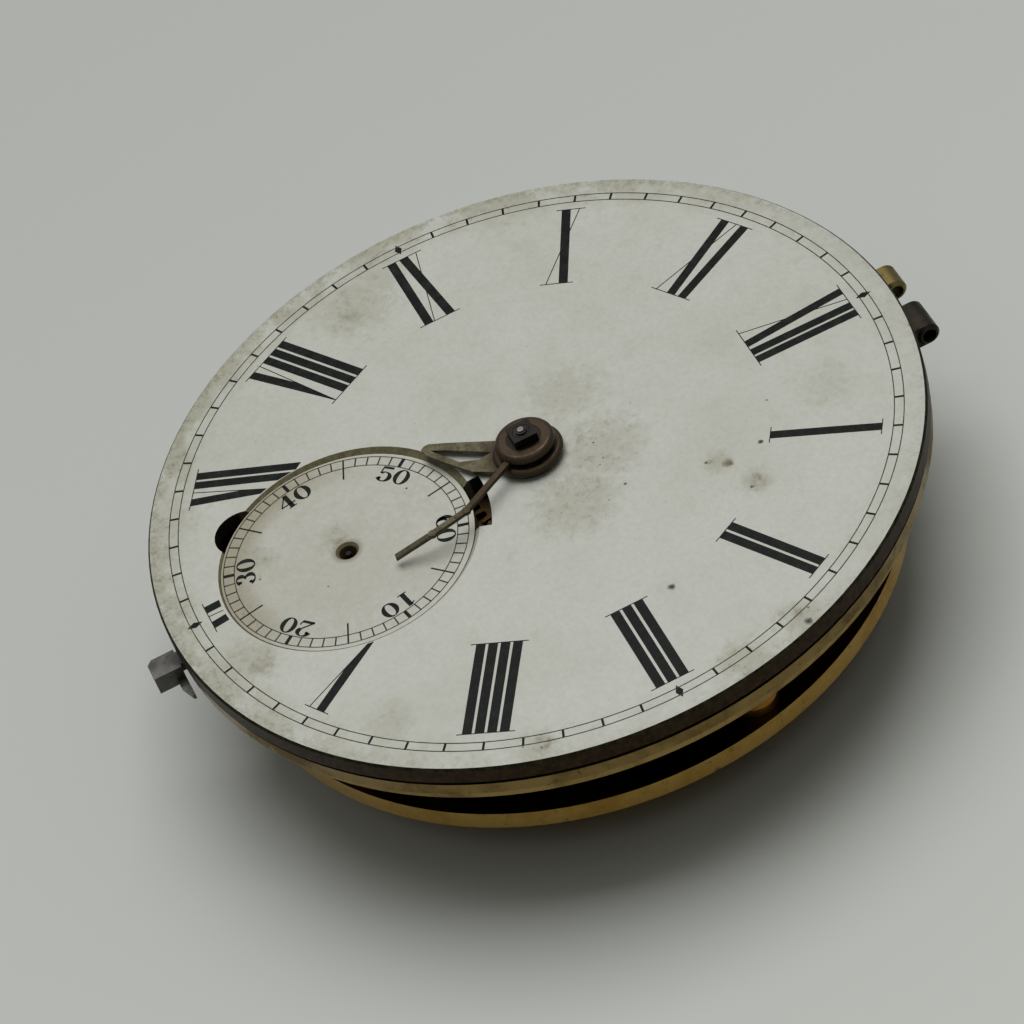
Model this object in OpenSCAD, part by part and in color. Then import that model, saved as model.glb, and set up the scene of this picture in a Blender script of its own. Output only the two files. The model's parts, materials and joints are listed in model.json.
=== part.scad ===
// Key-wound full-plate pocket watch movement with a fusee, a lever escapement and a sunk seconds dial.
// Origin on the centre arbor, at the lowest point of the back.
// +X towards III, +Y towards XII, +Z out of the dial.

/* [Dial] */
// Diameter of the enamel dial
dial_d = 43; // [42.5:0.1:44]
// Height of the dial's turned-down edge
dial_edge_h = 1; // [0.9:0.05:1.3]
// Thickness of the dial inside its edge
dial_t = 0.8; // [0.6:0.05:1]
// Rise of the domed dial at its centre
dial_rise = 0.3; // [0.1:0.05:0.5]
// Bevel of the dial's rim
dial_bevel = 0.12; // [0.08:0.02:0.2]
// Width of the turned-down edge
dial_edge_w = 1.3; // [0.8:0.1:1.6]
// Diameter of the hole for the hands
dial_hole_d = 3.2; // [3:0.1:3.4]
// Distance of the seconds centre from the dial centre
seconds_r = 11; // [10.8:0.05:11.2]
// Diameter of the seconds opening
seconds_d = 14.1; // [13.6:0.1:14.6]
// Depth of the seconds dial below the dial's crown
seconds_sink = 0.3; // [0.25:0.05:0.5]
// Bevel around the seconds opening, at the crown's level
seconds_bevel = 0.35; // [0.2:0.05:0.4]
// Width of the lip that holds the seconds dial under the dial
seconds_lip = 0.6; // [0.4:0.1:0.8]
// Thickness of the seconds dial's lip
seconds_lip_t = 0.35; // [0.25:0.05:0.4]
// Diameter of the hole for the seconds pivot
seconds_hole_d = 1; // [0.8:0.1:1.2]
// Dip of the enamel around that hole
seconds_dip = 0.15; // [0.1:0.05:0.2]
// Depth of the two notches outside the seconds opening
notch_depth = 1; // [0.6:0.1:1.2]
// Radius of the round notch
notch_r = 1.6; // [1.2:0.1:2]
// Diameter of a dial foot
foot_d = 1.2; // [1:0.1:1.4]
// Distance of the dial feet from the dial's rim
foot_inset = 2.5; // [2.3:0.1:2.7]

/* [Plates] */
// How far the pillar plate stands back from the brass edge
pillar_plate_inset = 0.3; // [0.2:0.05:0.4]
// Thickness of the pillar plate
pillar_plate_t = 0.9; // [0.8:0.05:1.1]
// Width of the rebate that seats in a case
seat_w = 0.8; // [0.6:0.05:0.9]
// Depth of that rebate
seat_depth = 0.25; // [0.15:0.05:0.3]
// How far the brass edge stands back from the dial's rim
edge_inset = 0.1; // [0.05:0.05:0.2]
// Width of the brass edge ring
edge_w = 3.6; // [3.4:0.1:3.8]
// Thickness of the brass edge ring
edge_t = 0.7; // [0.6:0.05:0.8]
// Gap between the brass edge and the dial
dial_gap = 0.3; // [0.2:0.05:0.4]
// Diameter of the top plate
top_plate_d = 38; // [37.6:0.1:38.4]
// Thickness of the top plate
top_plate_t = 1.1; // [0.9:0.05:1.3]
// Clear height between the plates
pillar_h = 3.7; // [3.7:0.05:4.2]
// Height of the balance cock over the top plate
back_h = 3.3; // [3.3:0.05:3.6]
// Distance of the pillars from the top plate's rim
pillar_inset = 1.7; // [1.5:0.05:1.8]
// Diameter of a pillar at its waist
pillar_d = 1.5; // [1.3:0.1:1.8]
// Diameter of a pillar at its ends
pillar_end_d = 2.4; // [2.2:0.1:2.6]
// Diameter of a pillar's riveted and pinned tenons
tenon_d = 1.4; // [1.2:0.1:1.5]
// Reach of a pillar's tenon beyond the top plate
tenon_h = 0.8; // [0.7:0.05:1]
// Diameter of a taper pin
pin_d = 0.4; // [0.3:0.05:0.5]

/* [Going train] */
// Module of the great wheel and centre pinion
great_m = 0.23; // [0.228:0.001:0.232]
// Module of the centre wheel and third pinion
centre_m = 0.22; // [0.218:0.001:0.222]
// Module of the third wheel and fourth pinion
third_m = 0.19; // [0.188:0.001:0.192]
// Module of the fourth wheel and escape pinion
fourth_m = 0.17; // [0.168:0.001:0.172]
// Module of the motion work
motion_m = 0.24; // [0.238:0.001:0.242]
// Thickness of the train wheels
wheel_t = 0.3; // [0.25:0.01:0.35]
// Radius of the train arbors
arbor_r = 0.35; // [0.3:0.01:0.4]
// Radius of the train pivots
pivot_r = 0.16; // [0.12:0.01:0.2]
// Running clearance of pivots and arbors
run_c = 0.03; // [0.02:0.005:0.05]

/* [Power] */
// Distance of the barrel from the centre
barrel_dist = 10.75; // [10.7:0.01:10.8]
// Outside radius of the barrel drum
barrel_r = 6.9; // [6.6:0.05:7]
// Wall of the barrel
barrel_wall = 0.35; // [0.25:0.05:0.45]
// Height of the barrel with its cover
barrel_h = 2.75; // [2.6:0.05:2.8]
// Radius of the barrel arbor's core
barrel_core_r = 1.4; // [1.2:0.05:1.5]
// Radius of the fusee at its wide end
fusee_r_wide = 5.6; // [5.3:0.05:5.8]
// Radius of the fusee at its narrow end
fusee_r_narrow = 3.2; // [3:0.05:3.5]
// Height of the fusee cone
fusee_h = 2.05; // [2:0.01:2.1]
// Rise of the fusee groove in one turn
fusee_pitch = 0.42; // [0.4:0.01:0.44]
// Height of the fusee chain
chain_h = 0.3; // [0.26:0.01:0.32]
// Thickness of the fusee chain
chain_t = 0.2; // [0.16:0.01:0.22]
// Side of the winding square
winding_sq = 1.6; // [1.4:0.05:1.7]

/* [Balance and escapement] */
// Gap between the balance and the foot of its cock
balance_gap = 0.4; // [0.3:0.05:0.6]
// Width of the balance rim
balance_rim_w = 0.8; // [0.6:0.05:1]
// Height of the balance rim
balance_rim_h = 0.7; // [0.6:0.05:0.75]
// Width of the balance cock's foot
cock_foot_w = 2.4; // [2.2:0.05:2.6]
// Thickness of the balance cock's table
cock_t = 0.9; // [0.8:0.02:0.94]
// Radius of the cock's table over the staff
cock_table_r = 3; // [2.6:0.1:3.4]
// Radius of the escape wheel to its tooth points
escape_r = 3.2; // [3.1:0.02:3.25]
// Distance from escape wheel to pallet arbor
escape_pallet = 3.7; // [3.68:0.01:3.75]
// Distance from pallet arbor to balance staff
pallet_balance = 4.7; // [4.65:0.01:4.75]
// Radius of the roller
roller_r = 1.4; // [1.3:0.05:1.5]
// Radius of the outer coil of the hairspring
spring_r = 3.9; // [3.7:0.05:4]
// Step between the hairspring's coils
spring_step = 0.52; // [0.5:0.01:0.55]
// Thickness of the hairspring's ribbon
spring_t = 0.09; // [0.07:0.005:0.1]

/* [Hands] */
// Radius of the hour hand's boss
hour_boss_r = 1.95; // [1.8:0.02:2.1]
// Radius of the minute hand's boss
minute_boss_r = 1.65; // [1.5:0.05:1.8]
// Radius of the cannon pinion's pipe
cannon_r = 0.95; // [0.94:0.005:0.98]
// Side of the hand-setting square
hand_sq = 1.34; // [1.25:0.01:1.36]
// Length of the broken hour hand from the centre
hour_len = 6.1; // [5.5:0.1:6.5]
// Length of the broken minute hand from the centre
minute_len = 9.4; // [8.8:0.1:9.8]
// Thickness of the hands
hand_t = 0.22; // [0.18:0.01:0.28]

/* [Case fittings] */
// Width of the bolt head
bolt_w = 1.45; // [1.3:0.05:1.6]
// Height of the bolt head
bolt_h = 1.15; // [1.05:0.05:1.2]
// Reach of the bolt beyond the brass edge
bolt_reach = 1.8; // [1.6:0.05:2]
// Travel of the bolt
bolt_travel = 1.1; // [0.9:0.05:1.1]
// Distance of the joint axis outside the brass edge
joint_out = 0.75; // [0.7:0.01:0.8]
// Outside radius of the joint's knuckles
knuckle_r = 0.65; // [0.62:0.01:0.7]
// Radius of the joint pin's bore
joint_bore_r = 0.4; // [0.35:0.01:0.42]
// Length of the brass knuckle
knuckle_left_l = 1.8; // [1.6:0.1:2.2]
// Length of the dark knuckle
knuckle_right_l = 2.5; // [2.2:0.1:3]
// Gap between the two knuckles
knuckle_gap = 1.65; // [1.4:0.05:1.8]

/* [Hidden] */
$fn = 64;

// Colours
brass = "goldenrod";
gilt = "darkgoldenrod";
steel = "slategray";
enamel = "ivory";
copper = "sienna";
ruby = "crimson";

// Small overshoot of a cut past a face
over = 0.5;
// Fixed fit between two pieces of one body
fit_c = 0.02;

// Heights of the main faces, from the back upwards
z_top_back = back_h;
z_top_in = z_top_back + top_plate_t;
z_pillar_in = z_top_in + pillar_h;
z_pillar_front = z_pillar_in + pillar_plate_t;
z_edge_front = z_pillar_front + edge_t;
z_dial_low = z_edge_front + dial_gap;
z_dial_top = z_dial_low + dial_edge_h;
z_dial_under = z_dial_top - dial_t;
z_dial_crown = z_dial_top + dial_rise;
z_seconds = z_dial_crown - seconds_sink;

// Gear teeth: shares of a module or of a pitch
wheel_add = 1.05;
wheel_ded = 1.3;
pinion_add = 0.7;
pinion_ded = 1.6;
wheel_root_share = 0.5;
wheel_tip_share = 0.2;
pinion_root_share = 0.34;
pinion_tip_share = 0.2;

// Tooth counts
great_n = 72;
centre_pinion_n = 12;
centre_n = 64;
third_pinion_n = 8;
third_n = 60;
fourth_pinion_n = 8;
fourth_n = 56;
escape_pinion_n = 7;
escape_n = 15;
cannon_n = 10;
minute_n = 30;
minute_pinion_n = 8;
hour_n = 32;

function polar(r, a) = [r * cos(a), r * sin(a)];
function heading(a, b) = atan2(b[1] - a[1], b[0] - a[0]);
function clock(h) = 90 - h;
function centres(m, a, b) = m * (a + b) / 2;

// Arbor positions in plan
centre_p = [0, 0];
fourth_p = [0, -seconds_r];
centre_third = centres(centre_m, centre_n, third_pinion_n);
third_fourth = centres(third_m, third_n, fourth_pinion_n);
third_y = -(pow(centre_third, 2) - pow(third_fourth, 2) + pow(seconds_r, 2)) / (2 * seconds_r);
third_p = [sqrt(pow(centre_third, 2) - pow(third_y, 2)), third_y];
fusee_p = polar(centres(great_m, great_n, centre_pinion_n), 150);
barrel_p = polar(barrel_dist, 45);
escape_p = fourth_p + polar(centres(fourth_m, fourth_n, escape_pinion_n), 180);
pallet_p = escape_p + polar(escape_pallet, 160);
balance_p = pallet_p + polar(pallet_balance, 74.8);
minute_p = polar(centres(motion_m, cannon_n, minute_n), clock(150));
potence_p = balance_p + polar(4, 25);
cock_a = heading(centre_p, balance_p);

// Heights in the train, from the pillar plate downwards
z_centre_wheel = z_pillar_in - 0.5;
centre_wheel_t = 0.35;
z_centre_pinion = z_pillar_in - 1.6;
z_great = z_pillar_in - 1.15;
great_t = 0.4;
z_third_wheel = z_pillar_in - 3.2;
z_third_pinion = z_pillar_in - 0.9;
third_pinion_h = 0.8;
z_fourth_wheel = z_pillar_in - 1.4;
z_fourth_pinion = z_pillar_in - 3.4;
fourth_pinion_h = 0.7;
z_escape_pinion = z_pillar_in - 1.6;
escape_pinion_h = 0.7;
z_escape_wheel = z_pillar_in - 2.5;
z_lever = z_pillar_in - 2.55;
lever_t = 0.4;
z_roller = z_pillar_in - 3;
roller_t = 0.25;
impulse_gap = 0.05;
impulse_r = 0.15;
impulse_x = roller_r - 0.3;
pivot_l = 0.8;

// Barrel, fusee and chain
z_fusee_wide = z_great - 0.15;
z_fusee_narrow = z_fusee_wide - fusee_h;
z_barrel = z_pillar_in - 0.7 - barrel_h;
barrel_cover_t = 0.3;
ridge_h = 0.2;
groove_half = 0.37;
chain_c = 0.06;
fusee_turns_wound = 1.6;
barrel_turns = 3;
barrel_chain_pitch = 0.34;
spiral_steps = 24;
chain_steps = 36;
groove_rows = 10;
maintaining_t = 0.1;
maintaining_n = 48;
fusee_cap_t = 0.18;

// Radius of the fusee's hyperbolic outline at height z
function fusee_r(z) =
  let (t = (z_fusee_wide - z) / fusee_h)
  1 / ((1 - t) / fusee_r_wide + t / fusee_r_narrow);

z_chain = z_fusee_wide - 0.3 - fusee_turns_wound * fusee_pitch;
chain_mid = chain_c + chain_t / 2;
chain_fusee_r = fusee_r(z_chain) + chain_mid;
chain_barrel_r = barrel_r + chain_mid;
chain_span = norm(barrel_p - fusee_p);
chain_a = heading(fusee_p, barrel_p) + acos((chain_fusee_r - chain_barrel_r) / chain_span);

// Balance, from the cock towards the dial
z_balance = cock_t + 0.35;
z_arms = z_balance + 0.25;
arms_t = 0.35;
balance_hub_r = 1.3;
balance_arm_w = 1.1;
balance_ledge = 0.12;
z_spring = z_balance + balance_rim_h + 0.35;
spring_h = 0.25;
collet_r = 0.75;
staff_r = 0.4;
staff_pivot_r = 0.11;
z_regulator = z_top_back - 0.35;
regulator_t = 0.3;
regulator_bore_r = 2;
regulator_ring_w = 0.9;
regulator_len = 8.3;
pointer_a = 285;
curb_a = pointer_a - 180;
stud_a = 150;
spring_in_r = collet_r + spring_t;
spring_turns = (spring_r - spring_in_r) / spring_step;
curb_r = spring_r - spring_step * (stud_a - curb_a) / 360;
curb_pin_r = 0.07;
curb_gap = 0.19;
staff_hole_r = roller_r + 0.25;
potence_t = 0.5;
z_potence = z_pillar_in - 1.8;
jewel_r = 0.55;

// Hands and motion work, from the pillar plate upwards
z_cannon = z_pillar_front + 0.08;
cannon_leaf_h = 0.37;
z_minute = z_pillar_front + 0.1;
minute_t = 0.25;
z_hour = z_pillar_front + 0.48;
hour_t = 0.27;
hour_pipe_r = 1.36;
z_hour_hand = z_dial_crown + 0.2;
hour_boss_h = 0.5;
z_minute_hand = z_hour_hand + hour_boss_h + 0.15;
minute_boss_h = 0.6;
z_hand_square = z_minute_hand + minute_boss_h;
hand_square_h = 0.5;
minute_post_r = 0.35;
hand_lift = 0.05;
hour_clock = 211;
boss_steps = 8;
// Outline of the broken hour hand and of its opening, as offsets from the tip
hour_outline = [
  [-4.2, -0.85], [-1.25, -1], [-0.35, -1], [-0.1, -0.85], [0, -0.62], [-0.35, -0.2], [-1.3, 0.35],
  [-2.3, 0.85], [-3.2, 1.3], [-4.4, 1.45]
];
hour_opening = [[-0.55, -0.5], [-1.35, -0.45], [-4.05, -0.05], [-3.45, 0.45], [-2.35, 0.5], [-1.4, 0]];
minute_w = 0.34;
minute_knot_r = 0.23;
minute_bend_r = 5.35;
minute_bend_clock = 149.8;
minute_knee_r = 7.4;
minute_knee_clock = 156.3;
minute_tip_clock = 163.5;
minute_knee_drop = 0.15;
minute_drop = 0.8;

// Case fittings
dial_r = dial_d / 2;
edge_r = dial_r - edge_inset;
edge_bore_r = edge_r - edge_w;
pillar_plate_r = edge_r - pillar_plate_inset;
seat_r = pillar_plate_r - seat_w;
joint_y = edge_r + joint_out;
joint_z = z_pillar_front - 0.05;
knuckle_shift = -0.375;
knuckle_chamfer = 0.15;
knuckle_root = 0.6;
bolt_x = 0.175;
bolt_chamfer = 0.3;
bolt_gap = 0.2;
bolt_c = 0.06;
shank_w = 1;
shank_l = 5;
z_shank = z_pillar_front + 0.06;
shank_t = edge_t - 0.12;
bolt_inner_y = -(edge_r + bolt_gap);
bolt_end_y = -(edge_r + bolt_reach);
shank_end_y = bolt_inner_y + shank_l;
bolt_slot_y = bolt_inner_y + bolt_travel + bolt_c;
z_bolt_low = z_edge_front - 0.05 - bolt_h;
nib_t = 0.3;
nib_l = 1.5;
nib_w = 0.5;
nib_tip = 0.15;
nib_shoulder = 0.5;
bolt_spring_t = 0.25;
bolt_spring_a = 236;
bolt_spring_r = -shank_end_y - bolt_c;

// Pillars, feet and screws: clock positions
pillar_clock = [76, 155, 262, 350];
foot_clock = [35, 125, 275];
edge_screw_clock = [62, 222, 312];
edge_screw_r = (edge_bore_r + edge_r) / 2;
top_plate_r = top_plate_d / 2;
pillar_ring_r = top_plate_r - pillar_inset;
foot_ring_r = dial_r - foot_inset;
pillar_ps = [for (h = pillar_clock) polar(pillar_ring_r, clock(h))];
foot_ps = [for (h = foot_clock) polar(foot_ring_r, clock(h))];
edge_screw_ps = [for (h = edge_screw_clock) polar(edge_screw_r, clock(h))];
foot_l = dial_t + 1.9;
dial_pin_l = 2.2;
pillar_pin_l = 3;

// Barrel bridge, cock and potence
bridge_t = 0.9;
bridge_w = 4.8;
bridge_l = 20.4;
bridge_screw_x = 8.9;
barrel_hole_r = barrel_r + 0.5;
cock_foot_in = top_plate_r - cock_foot_w;
balance_r = cock_foot_in - balance_gap - norm(balance_p);
cock_foot_a = 16;
cock_screw_r = top_plate_r - cock_foot_w / 2;
screw_r = 0.45;
screw_head_r = 0.85;
screw_head_t = 0.35;
cock_screw_sink = 0.05;
slot_w = 0.22;
slot_t = 0.15;
screw_l = 1.1;
setup_n = 20;
setup_r = 2.6;
setup_t = 0.3;
setup_sq = 1.2;
click_p = barrel_p + polar(4.7, 200);
click_t = 0.3;

// Shared shapes

module at(p, z = 0) translate([p[0], p[1], z]) children();

module disc(r, z0, z1) translate([0, 0, z0]) cylinder(r = r, h = z1 - z0, $fn = r > 5 ? 360 : 64);

module ring(r_out, r_in, z0, z1) difference() {
  disc(r_out, z0, z1);
  disc(r_in, z0 - over, z1 + over);
}

// Turned piece from a list of [radius, low, high] steps that follow one another
module turned(steps) {
  last = len(steps) - 1;
  rotate_extrude() polygon(concat(
    [[0, steps[0][1]]],
    [for (s = steps) each [[s[0], s[1]], [s[0], s[2]]]],
    [[0, steps[last][2]]]
  ));
}

// Outline of a toothed disc with a tooth centred on the heading phase
function teeth(n, r_root, r_tip, root_share, tip_share, phase) =
  let (pitch = 360 / n)
  [for (i = [0 : n - 1]) let (a = phase + i * pitch) each [
    polar(r_root, a - pitch * root_share / 2),
    polar(r_tip, a - pitch * tip_share / 2),
    polar(r_tip, a + pitch * tip_share / 2),
    polar(r_root, a + pitch * root_share / 2)
  ]];

function wheel_tip(n, m) = m * (n / 2 + wheel_add);
function wheel_root(n, m) = m * (n / 2 - wheel_ded);
function pinion_tip(n, m) = m * (n / 2 + pinion_add);

module wheel_teeth(n, m, z, t, phase) translate([0, 0, z]) linear_extrude(t) polygon(
  teeth(n, wheel_root(n, m), wheel_tip(n, m), wheel_root_share, wheel_tip_share, phase)
);

module pinion_teeth(n, m, z, t, mesh_a) translate([0, 0, z]) linear_extrude(t) polygon(
  teeth(n, m * (n / 2 - pinion_ded), pinion_tip(n, m), pinion_root_share, pinion_tip_share, mesh_a + 180 / n)
);

// Openings between the arms of a wheel
module crossings(r_in, r_out, z, t, arms, arm_w) difference() {
  ring(r_out, r_in, z - over, z + t + over);
  for (i = [0 : arms - 1]) rotate(i * 360 / arms)
    translate([0, -arm_w / 2, z - 2 * over]) cube([r_out + over, arm_w, t + 4 * over]);
}

// Crossed-out wheel on its arbor
module train_wheel(n, m, z, t, phase, hub_r, bore_r, arms = 4) {
  rim_r = wheel_root(n, m) - 0.55;
  difference() {
    wheel_teeth(n, m, z, t, phase);
    crossings(hub_r, rim_r, z, t, arms, 0.55);
    disc(bore_r, z - over, z + t + over);
  }
}

// Spiral ribbon from r_in to r_out, ending at the heading end_a
function spiral_edge(r_in, r_out, turns, end_a, n) =
  [for (i = [0 : n]) polar(r_in + (r_out - r_in) * i / n, end_a - 360 * turns * (1 - i / n))];

module spiral(r_in, r_out, turns, end_a, t, z, h) {
  n = ceil(turns * spiral_steps);
  inner = spiral_edge(r_in - t / 2, r_out - t / 2, turns, end_a, n);
  outer = spiral_edge(r_in + t / 2, r_out + t / 2, turns, end_a, n);
  translate([0, 0, z]) linear_extrude(h) polygon(concat(outer, [for (i = [n : -1 : 0]) inner[i]]));
}

// Band swept along a list of [heading, radius, height], with a section of four [radius, height] corners
module swept_band(path, corners) {
  n = len(path);
  points = [for (p = path, c = corners)
    [(p[1] + c[0]) * cos(p[0]), (p[1] + c[0]) * sin(p[0]), p[2] + c[1]]];
  sides = [for (i = [0 : n - 2], k = [0 : 3]) let (a = 4 * i + k, b = 4 * i + (k + 1) % 4)
    each [[a, b, b + 4], [a, b + 4, a + 4]]];
  last = 4 * (n - 1);
  ends = [[0, 2, 1], [0, 3, 2], [last, last + 1, last + 2], [last, last + 2, last + 3]];
  polyhedron(points, concat(sides, ends), convexity = 10);
}

function band_corners(t, h) = [[-t / 2, -h / 2], [-t / 2, h / 2], [t / 2, h / 2], [t / 2, -h / 2]];

// Slotted cheese-head screw whose head's top is at z, driven towards the sign of dir
module screw(p, z, dir, head_r = screw_head_r, l = screw_l) at(p, z)
  rotate([dir > 0 ? 180 : 0, 0, 0]) difference() {
    turned([[screw_r, -l - screw_head_t, -screw_head_t], [head_r, -screw_head_t, 0]]);
    translate([-head_r - over, -slot_w / 2, -slot_t]) cube([2 * (head_r + over), slot_w, 1]);
  }

module screw_hole(p, z0, z1) at(p) disc(screw_r + fit_c, z0, z1);

// Dial side

module seconds_notches(z0, z1) {
  reach = seconds_d / 2 + notch_depth;
  at(fourth_p + polar(reach - notch_r, 223)) disc(notch_r, z0, z1);
  at(fourth_p) intersection() {
    disc(reach, z0, z1);
    translate([0, 0, z0]) linear_extrude(z1 - z0)
      polygon([[0, 0], polar(2 * reach, 65), polar(2 * reach, 93)]);
  }
}

module dial() color(enamel) {
  face_r = dial_r - dial_bevel;
  bed_r = dial_r - dial_edge_w;
  arc_n = 12;
  difference() {
    rotate_extrude($fn = 120) polygon(concat(
      [for (i = [0 : arc_n]) let (r = face_r * i / arc_n)
        [r, z_dial_top + dial_rise * (1 - pow(r / dial_r, 2))]],
      [[dial_r, z_dial_top - dial_bevel], [dial_r, z_dial_low], [bed_r, z_dial_low],
       [bed_r, z_dial_under], [0, z_dial_under]]
    ));
    disc(dial_hole_d / 2, z_dial_under - over, z_dial_crown + over);
    at(fourth_p) disc(seconds_d / 2, z_dial_under - over, z_dial_crown + over);
    at(fourth_p) translate([0, 0, z_seconds])
      cylinder(r1 = seconds_d / 2, r2 = seconds_d / 2 + seconds_bevel, h = seconds_sink, $fn = 360);
    seconds_notches(z_dial_under - over, z_dial_crown + over);
  }
}

module seconds_dial() color(enamel) difference() {
  z_lip = z_dial_under - seconds_lip_t;
  hole_r = seconds_hole_d / 2;
  at(fourth_p) union() {
    disc(seconds_d / 2 + seconds_lip, z_lip, z_dial_under);
    disc(seconds_d / 2 - fit_c, z_lip, z_seconds);
  }
  at(fourth_p) disc(hole_r, z_lip - over, z_seconds + over);
  at(fourth_p) translate([0, 0, z_seconds - seconds_dip])
    cylinder(r1 = hole_r, r2 = hole_r + seconds_dip + over, h = seconds_dip + over, $fn = 64);
  difference() {
    seconds_notches(z_lip - over, z_dial_under + over);
    at(fourth_p) disc(seconds_d / 2 - fit_c, z_lip - 2 * over, z_dial_under + 2 * over);
  }
}

module dial_feet() color(copper)
  for (p = foot_ps) at(p) difference() {
    disc(foot_d / 2, z_dial_under - foot_l, z_dial_under);
    translate([0, 0, z_pillar_in - pin_d / 2 - fit_c]) rotate([0, 90, heading(centre_p, p) + 90])
      cylinder(r = pin_d / 2 + fit_c, h = foot_d * 2, center = true);
  }

module dial_pins() color(brass)
  for (p = foot_ps) at(p, z_pillar_in - pin_d / 2 - fit_c) rotate([0, 90, heading(centre_p, p) + 90])
    cylinder(r = pin_d / 2, h = dial_pin_l, center = true);

module bolt_slot() {
  slot_w_all = bolt_w + 2 * bolt_c;
  translate([bolt_x - slot_w_all / 2, -edge_r - over, z_bolt_low - over])
    cube([slot_w_all, bolt_slot_y + edge_r + over, z_dial_low - z_bolt_low + over]);
}

module nib_slot() {
  slot_l = bolt_w / 2 + nib_l + bolt_c;
  z_slot = z_bolt_low - bolt_c;
  translate([bolt_x, -edge_r - over, z_slot])
    cube([slot_l, bolt_slot_y + edge_r + over, z_pillar_front - z_slot + over]);
}

module brass_edge() color(brass) difference() {
  ring(edge_r, edge_bore_r, z_pillar_front, z_edge_front);
  for (p = foot_ps) at(p) disc(foot_d / 2 + fit_c, z_pillar_front - over, z_edge_front + over);
  for (p = edge_screw_ps) {
    screw_hole(p, z_pillar_front - over, z_edge_front + over);
    at(p) disc(screw_head_r + fit_c, z_edge_front - screw_head_t, z_edge_front + over);
  }
  bolt_slot();
  translate([bolt_x - shank_w / 2 - bolt_c, -edge_r, z_pillar_front - over])
    cube([shank_w + 2 * bolt_c, edge_w + over, edge_t + 2 * over]);
}

module dial_side_screws() color(steel) {
  for (p = edge_screw_ps) screw(p, z_edge_front, -1, l = edge_t - screw_head_t + pillar_plate_t * 0.8);
  screw(click_p, z_pillar_front + click_t + screw_head_t, -1, head_r = 0.7,
    l = click_t + pillar_plate_t * 0.8);
  screw(polar(bolt_spring_r, bolt_spring_a), z_shank + shank_t, -1, head_r = 0.7,
    l = z_shank + shank_t - screw_head_t - z_pillar_front + pillar_plate_t * 0.8);
}

module joint_knuckle(x0, l) difference() {
  rim_r = knuckle_r - knuckle_chamfer;
  translate([x0, 0, 0]) union() {
    translate([0, joint_y, joint_z]) rotate([0, 90, 0]) rotate_extrude() polygon([
      [0, 0], [rim_r, 0], [knuckle_r, knuckle_chamfer], [knuckle_r, l - knuckle_chamfer], [rim_r, l], [0, l]
    ]);
    translate([knuckle_chamfer, joint_y - joint_out - knuckle_root, joint_z - knuckle_r])
      cube([l - 2 * knuckle_chamfer, joint_out + knuckle_root, 2 * knuckle_r]);
  }
  translate([x0 - over, joint_y, joint_z]) rotate([0, 90, 0])
    cylinder(r = joint_bore_r, h = l + 2 * over);
  disc(edge_r + fit_c, z_pillar_front - fit_c, z_edge_front + over);
  disc(pillar_plate_r + fit_c, z_pillar_in - over, z_pillar_front);
}

module joint_knuckle_left() color(brass)
  joint_knuckle(knuckle_shift - knuckle_gap / 2 - knuckle_left_l, knuckle_left_l);

module joint_knuckle_right() color(steel) joint_knuckle(knuckle_shift + knuckle_gap / 2, knuckle_right_l);

module bolt() color(steel) {
  x_left = bolt_x - bolt_w / 2;
  x_right = bolt_x + bolt_w / 2;
  join = 0.1;
  translate([0, 0, z_bolt_low]) linear_extrude(bolt_h) polygon([
    [x_left, bolt_inner_y], [x_left, bolt_end_y + bolt_chamfer], [x_left + bolt_chamfer, bolt_end_y],
    [x_right, bolt_end_y], [x_right, bolt_inner_y]
  ]);
  translate([bolt_x - shank_w / 2, bolt_inner_y - join, z_shank]) cube([shank_w, shank_l + join, shank_t]);
  translate([0, 0, z_bolt_low]) linear_extrude(nib_t) polygon([
    [x_right - join, bolt_inner_y], [x_right - join, bolt_inner_y - nib_w],
    [x_right + nib_shoulder, bolt_inner_y - nib_w], [x_right + nib_l, bolt_inner_y - nib_tip],
    [x_right + nib_l, bolt_inner_y]
  ]);
}

module bolt_spring() color(steel) difference() {
  span = heading(centre_p, [bolt_x, shank_end_y]) + 360 - bolt_spring_a;
  union() {
    rotate(bolt_spring_a) rotate_extrude(angle = span)
      translate([bolt_spring_r - bolt_spring_t, z_shank]) square([bolt_spring_t, shank_t - screw_head_t]);
    at(polar(bolt_spring_r, bolt_spring_a)) disc(0.8, z_pillar_front, z_shank + shank_t - screw_head_t);
  }
  screw_hole(polar(bolt_spring_r, bolt_spring_a), z_pillar_front - over, z_edge_front + over);
}

// Plates and pillars

module arbor_holes(ps, r, z0, z1) for (p = ps) at(p) disc(r, z0, z1);

module pillar_plate() color(brass) difference() {
  union() {
    disc(seat_r, z_pillar_in, z_pillar_front);
    disc(pillar_plate_r, z_pillar_in + seat_depth, z_pillar_front);
  }
  arbor_holes(pillar_ps, tenon_d / 2 + fit_c, z_pillar_in - over, z_pillar_front + over);
  arbor_holes(foot_ps, foot_d / 2 + fit_c, z_pillar_in - over, z_pillar_front + over);
  arbor_holes(edge_screw_ps, screw_r + fit_c, z_pillar_in - over, z_pillar_front + over);
  arbor_holes([third_p, fourth_p, escape_p, pallet_p], pivot_r + run_c, z_pillar_in - over,
    z_pillar_front + over);
  arbor_holes([fusee_p], arbor_r + run_c, z_pillar_in - over, z_pillar_front + over);
  arbor_holes([centre_p], arbor_r + 0.1 + run_c, z_pillar_in - over, z_pillar_front + over);
  arbor_holes([barrel_p], barrel_core_r * 0.6 + run_c, z_pillar_in - over, z_pillar_front + over);
  arbor_holes([minute_p], minute_post_r + fit_c, z_pillar_in - over, z_pillar_front + over);
  screw_hole(click_p, z_pillar_in - over, z_pillar_front + over);
  screw_hole(polar(bolt_spring_r, bolt_spring_a), z_pillar_in - over, z_pillar_front + over);
  bolt_slot();
  nib_slot();
}

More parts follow.
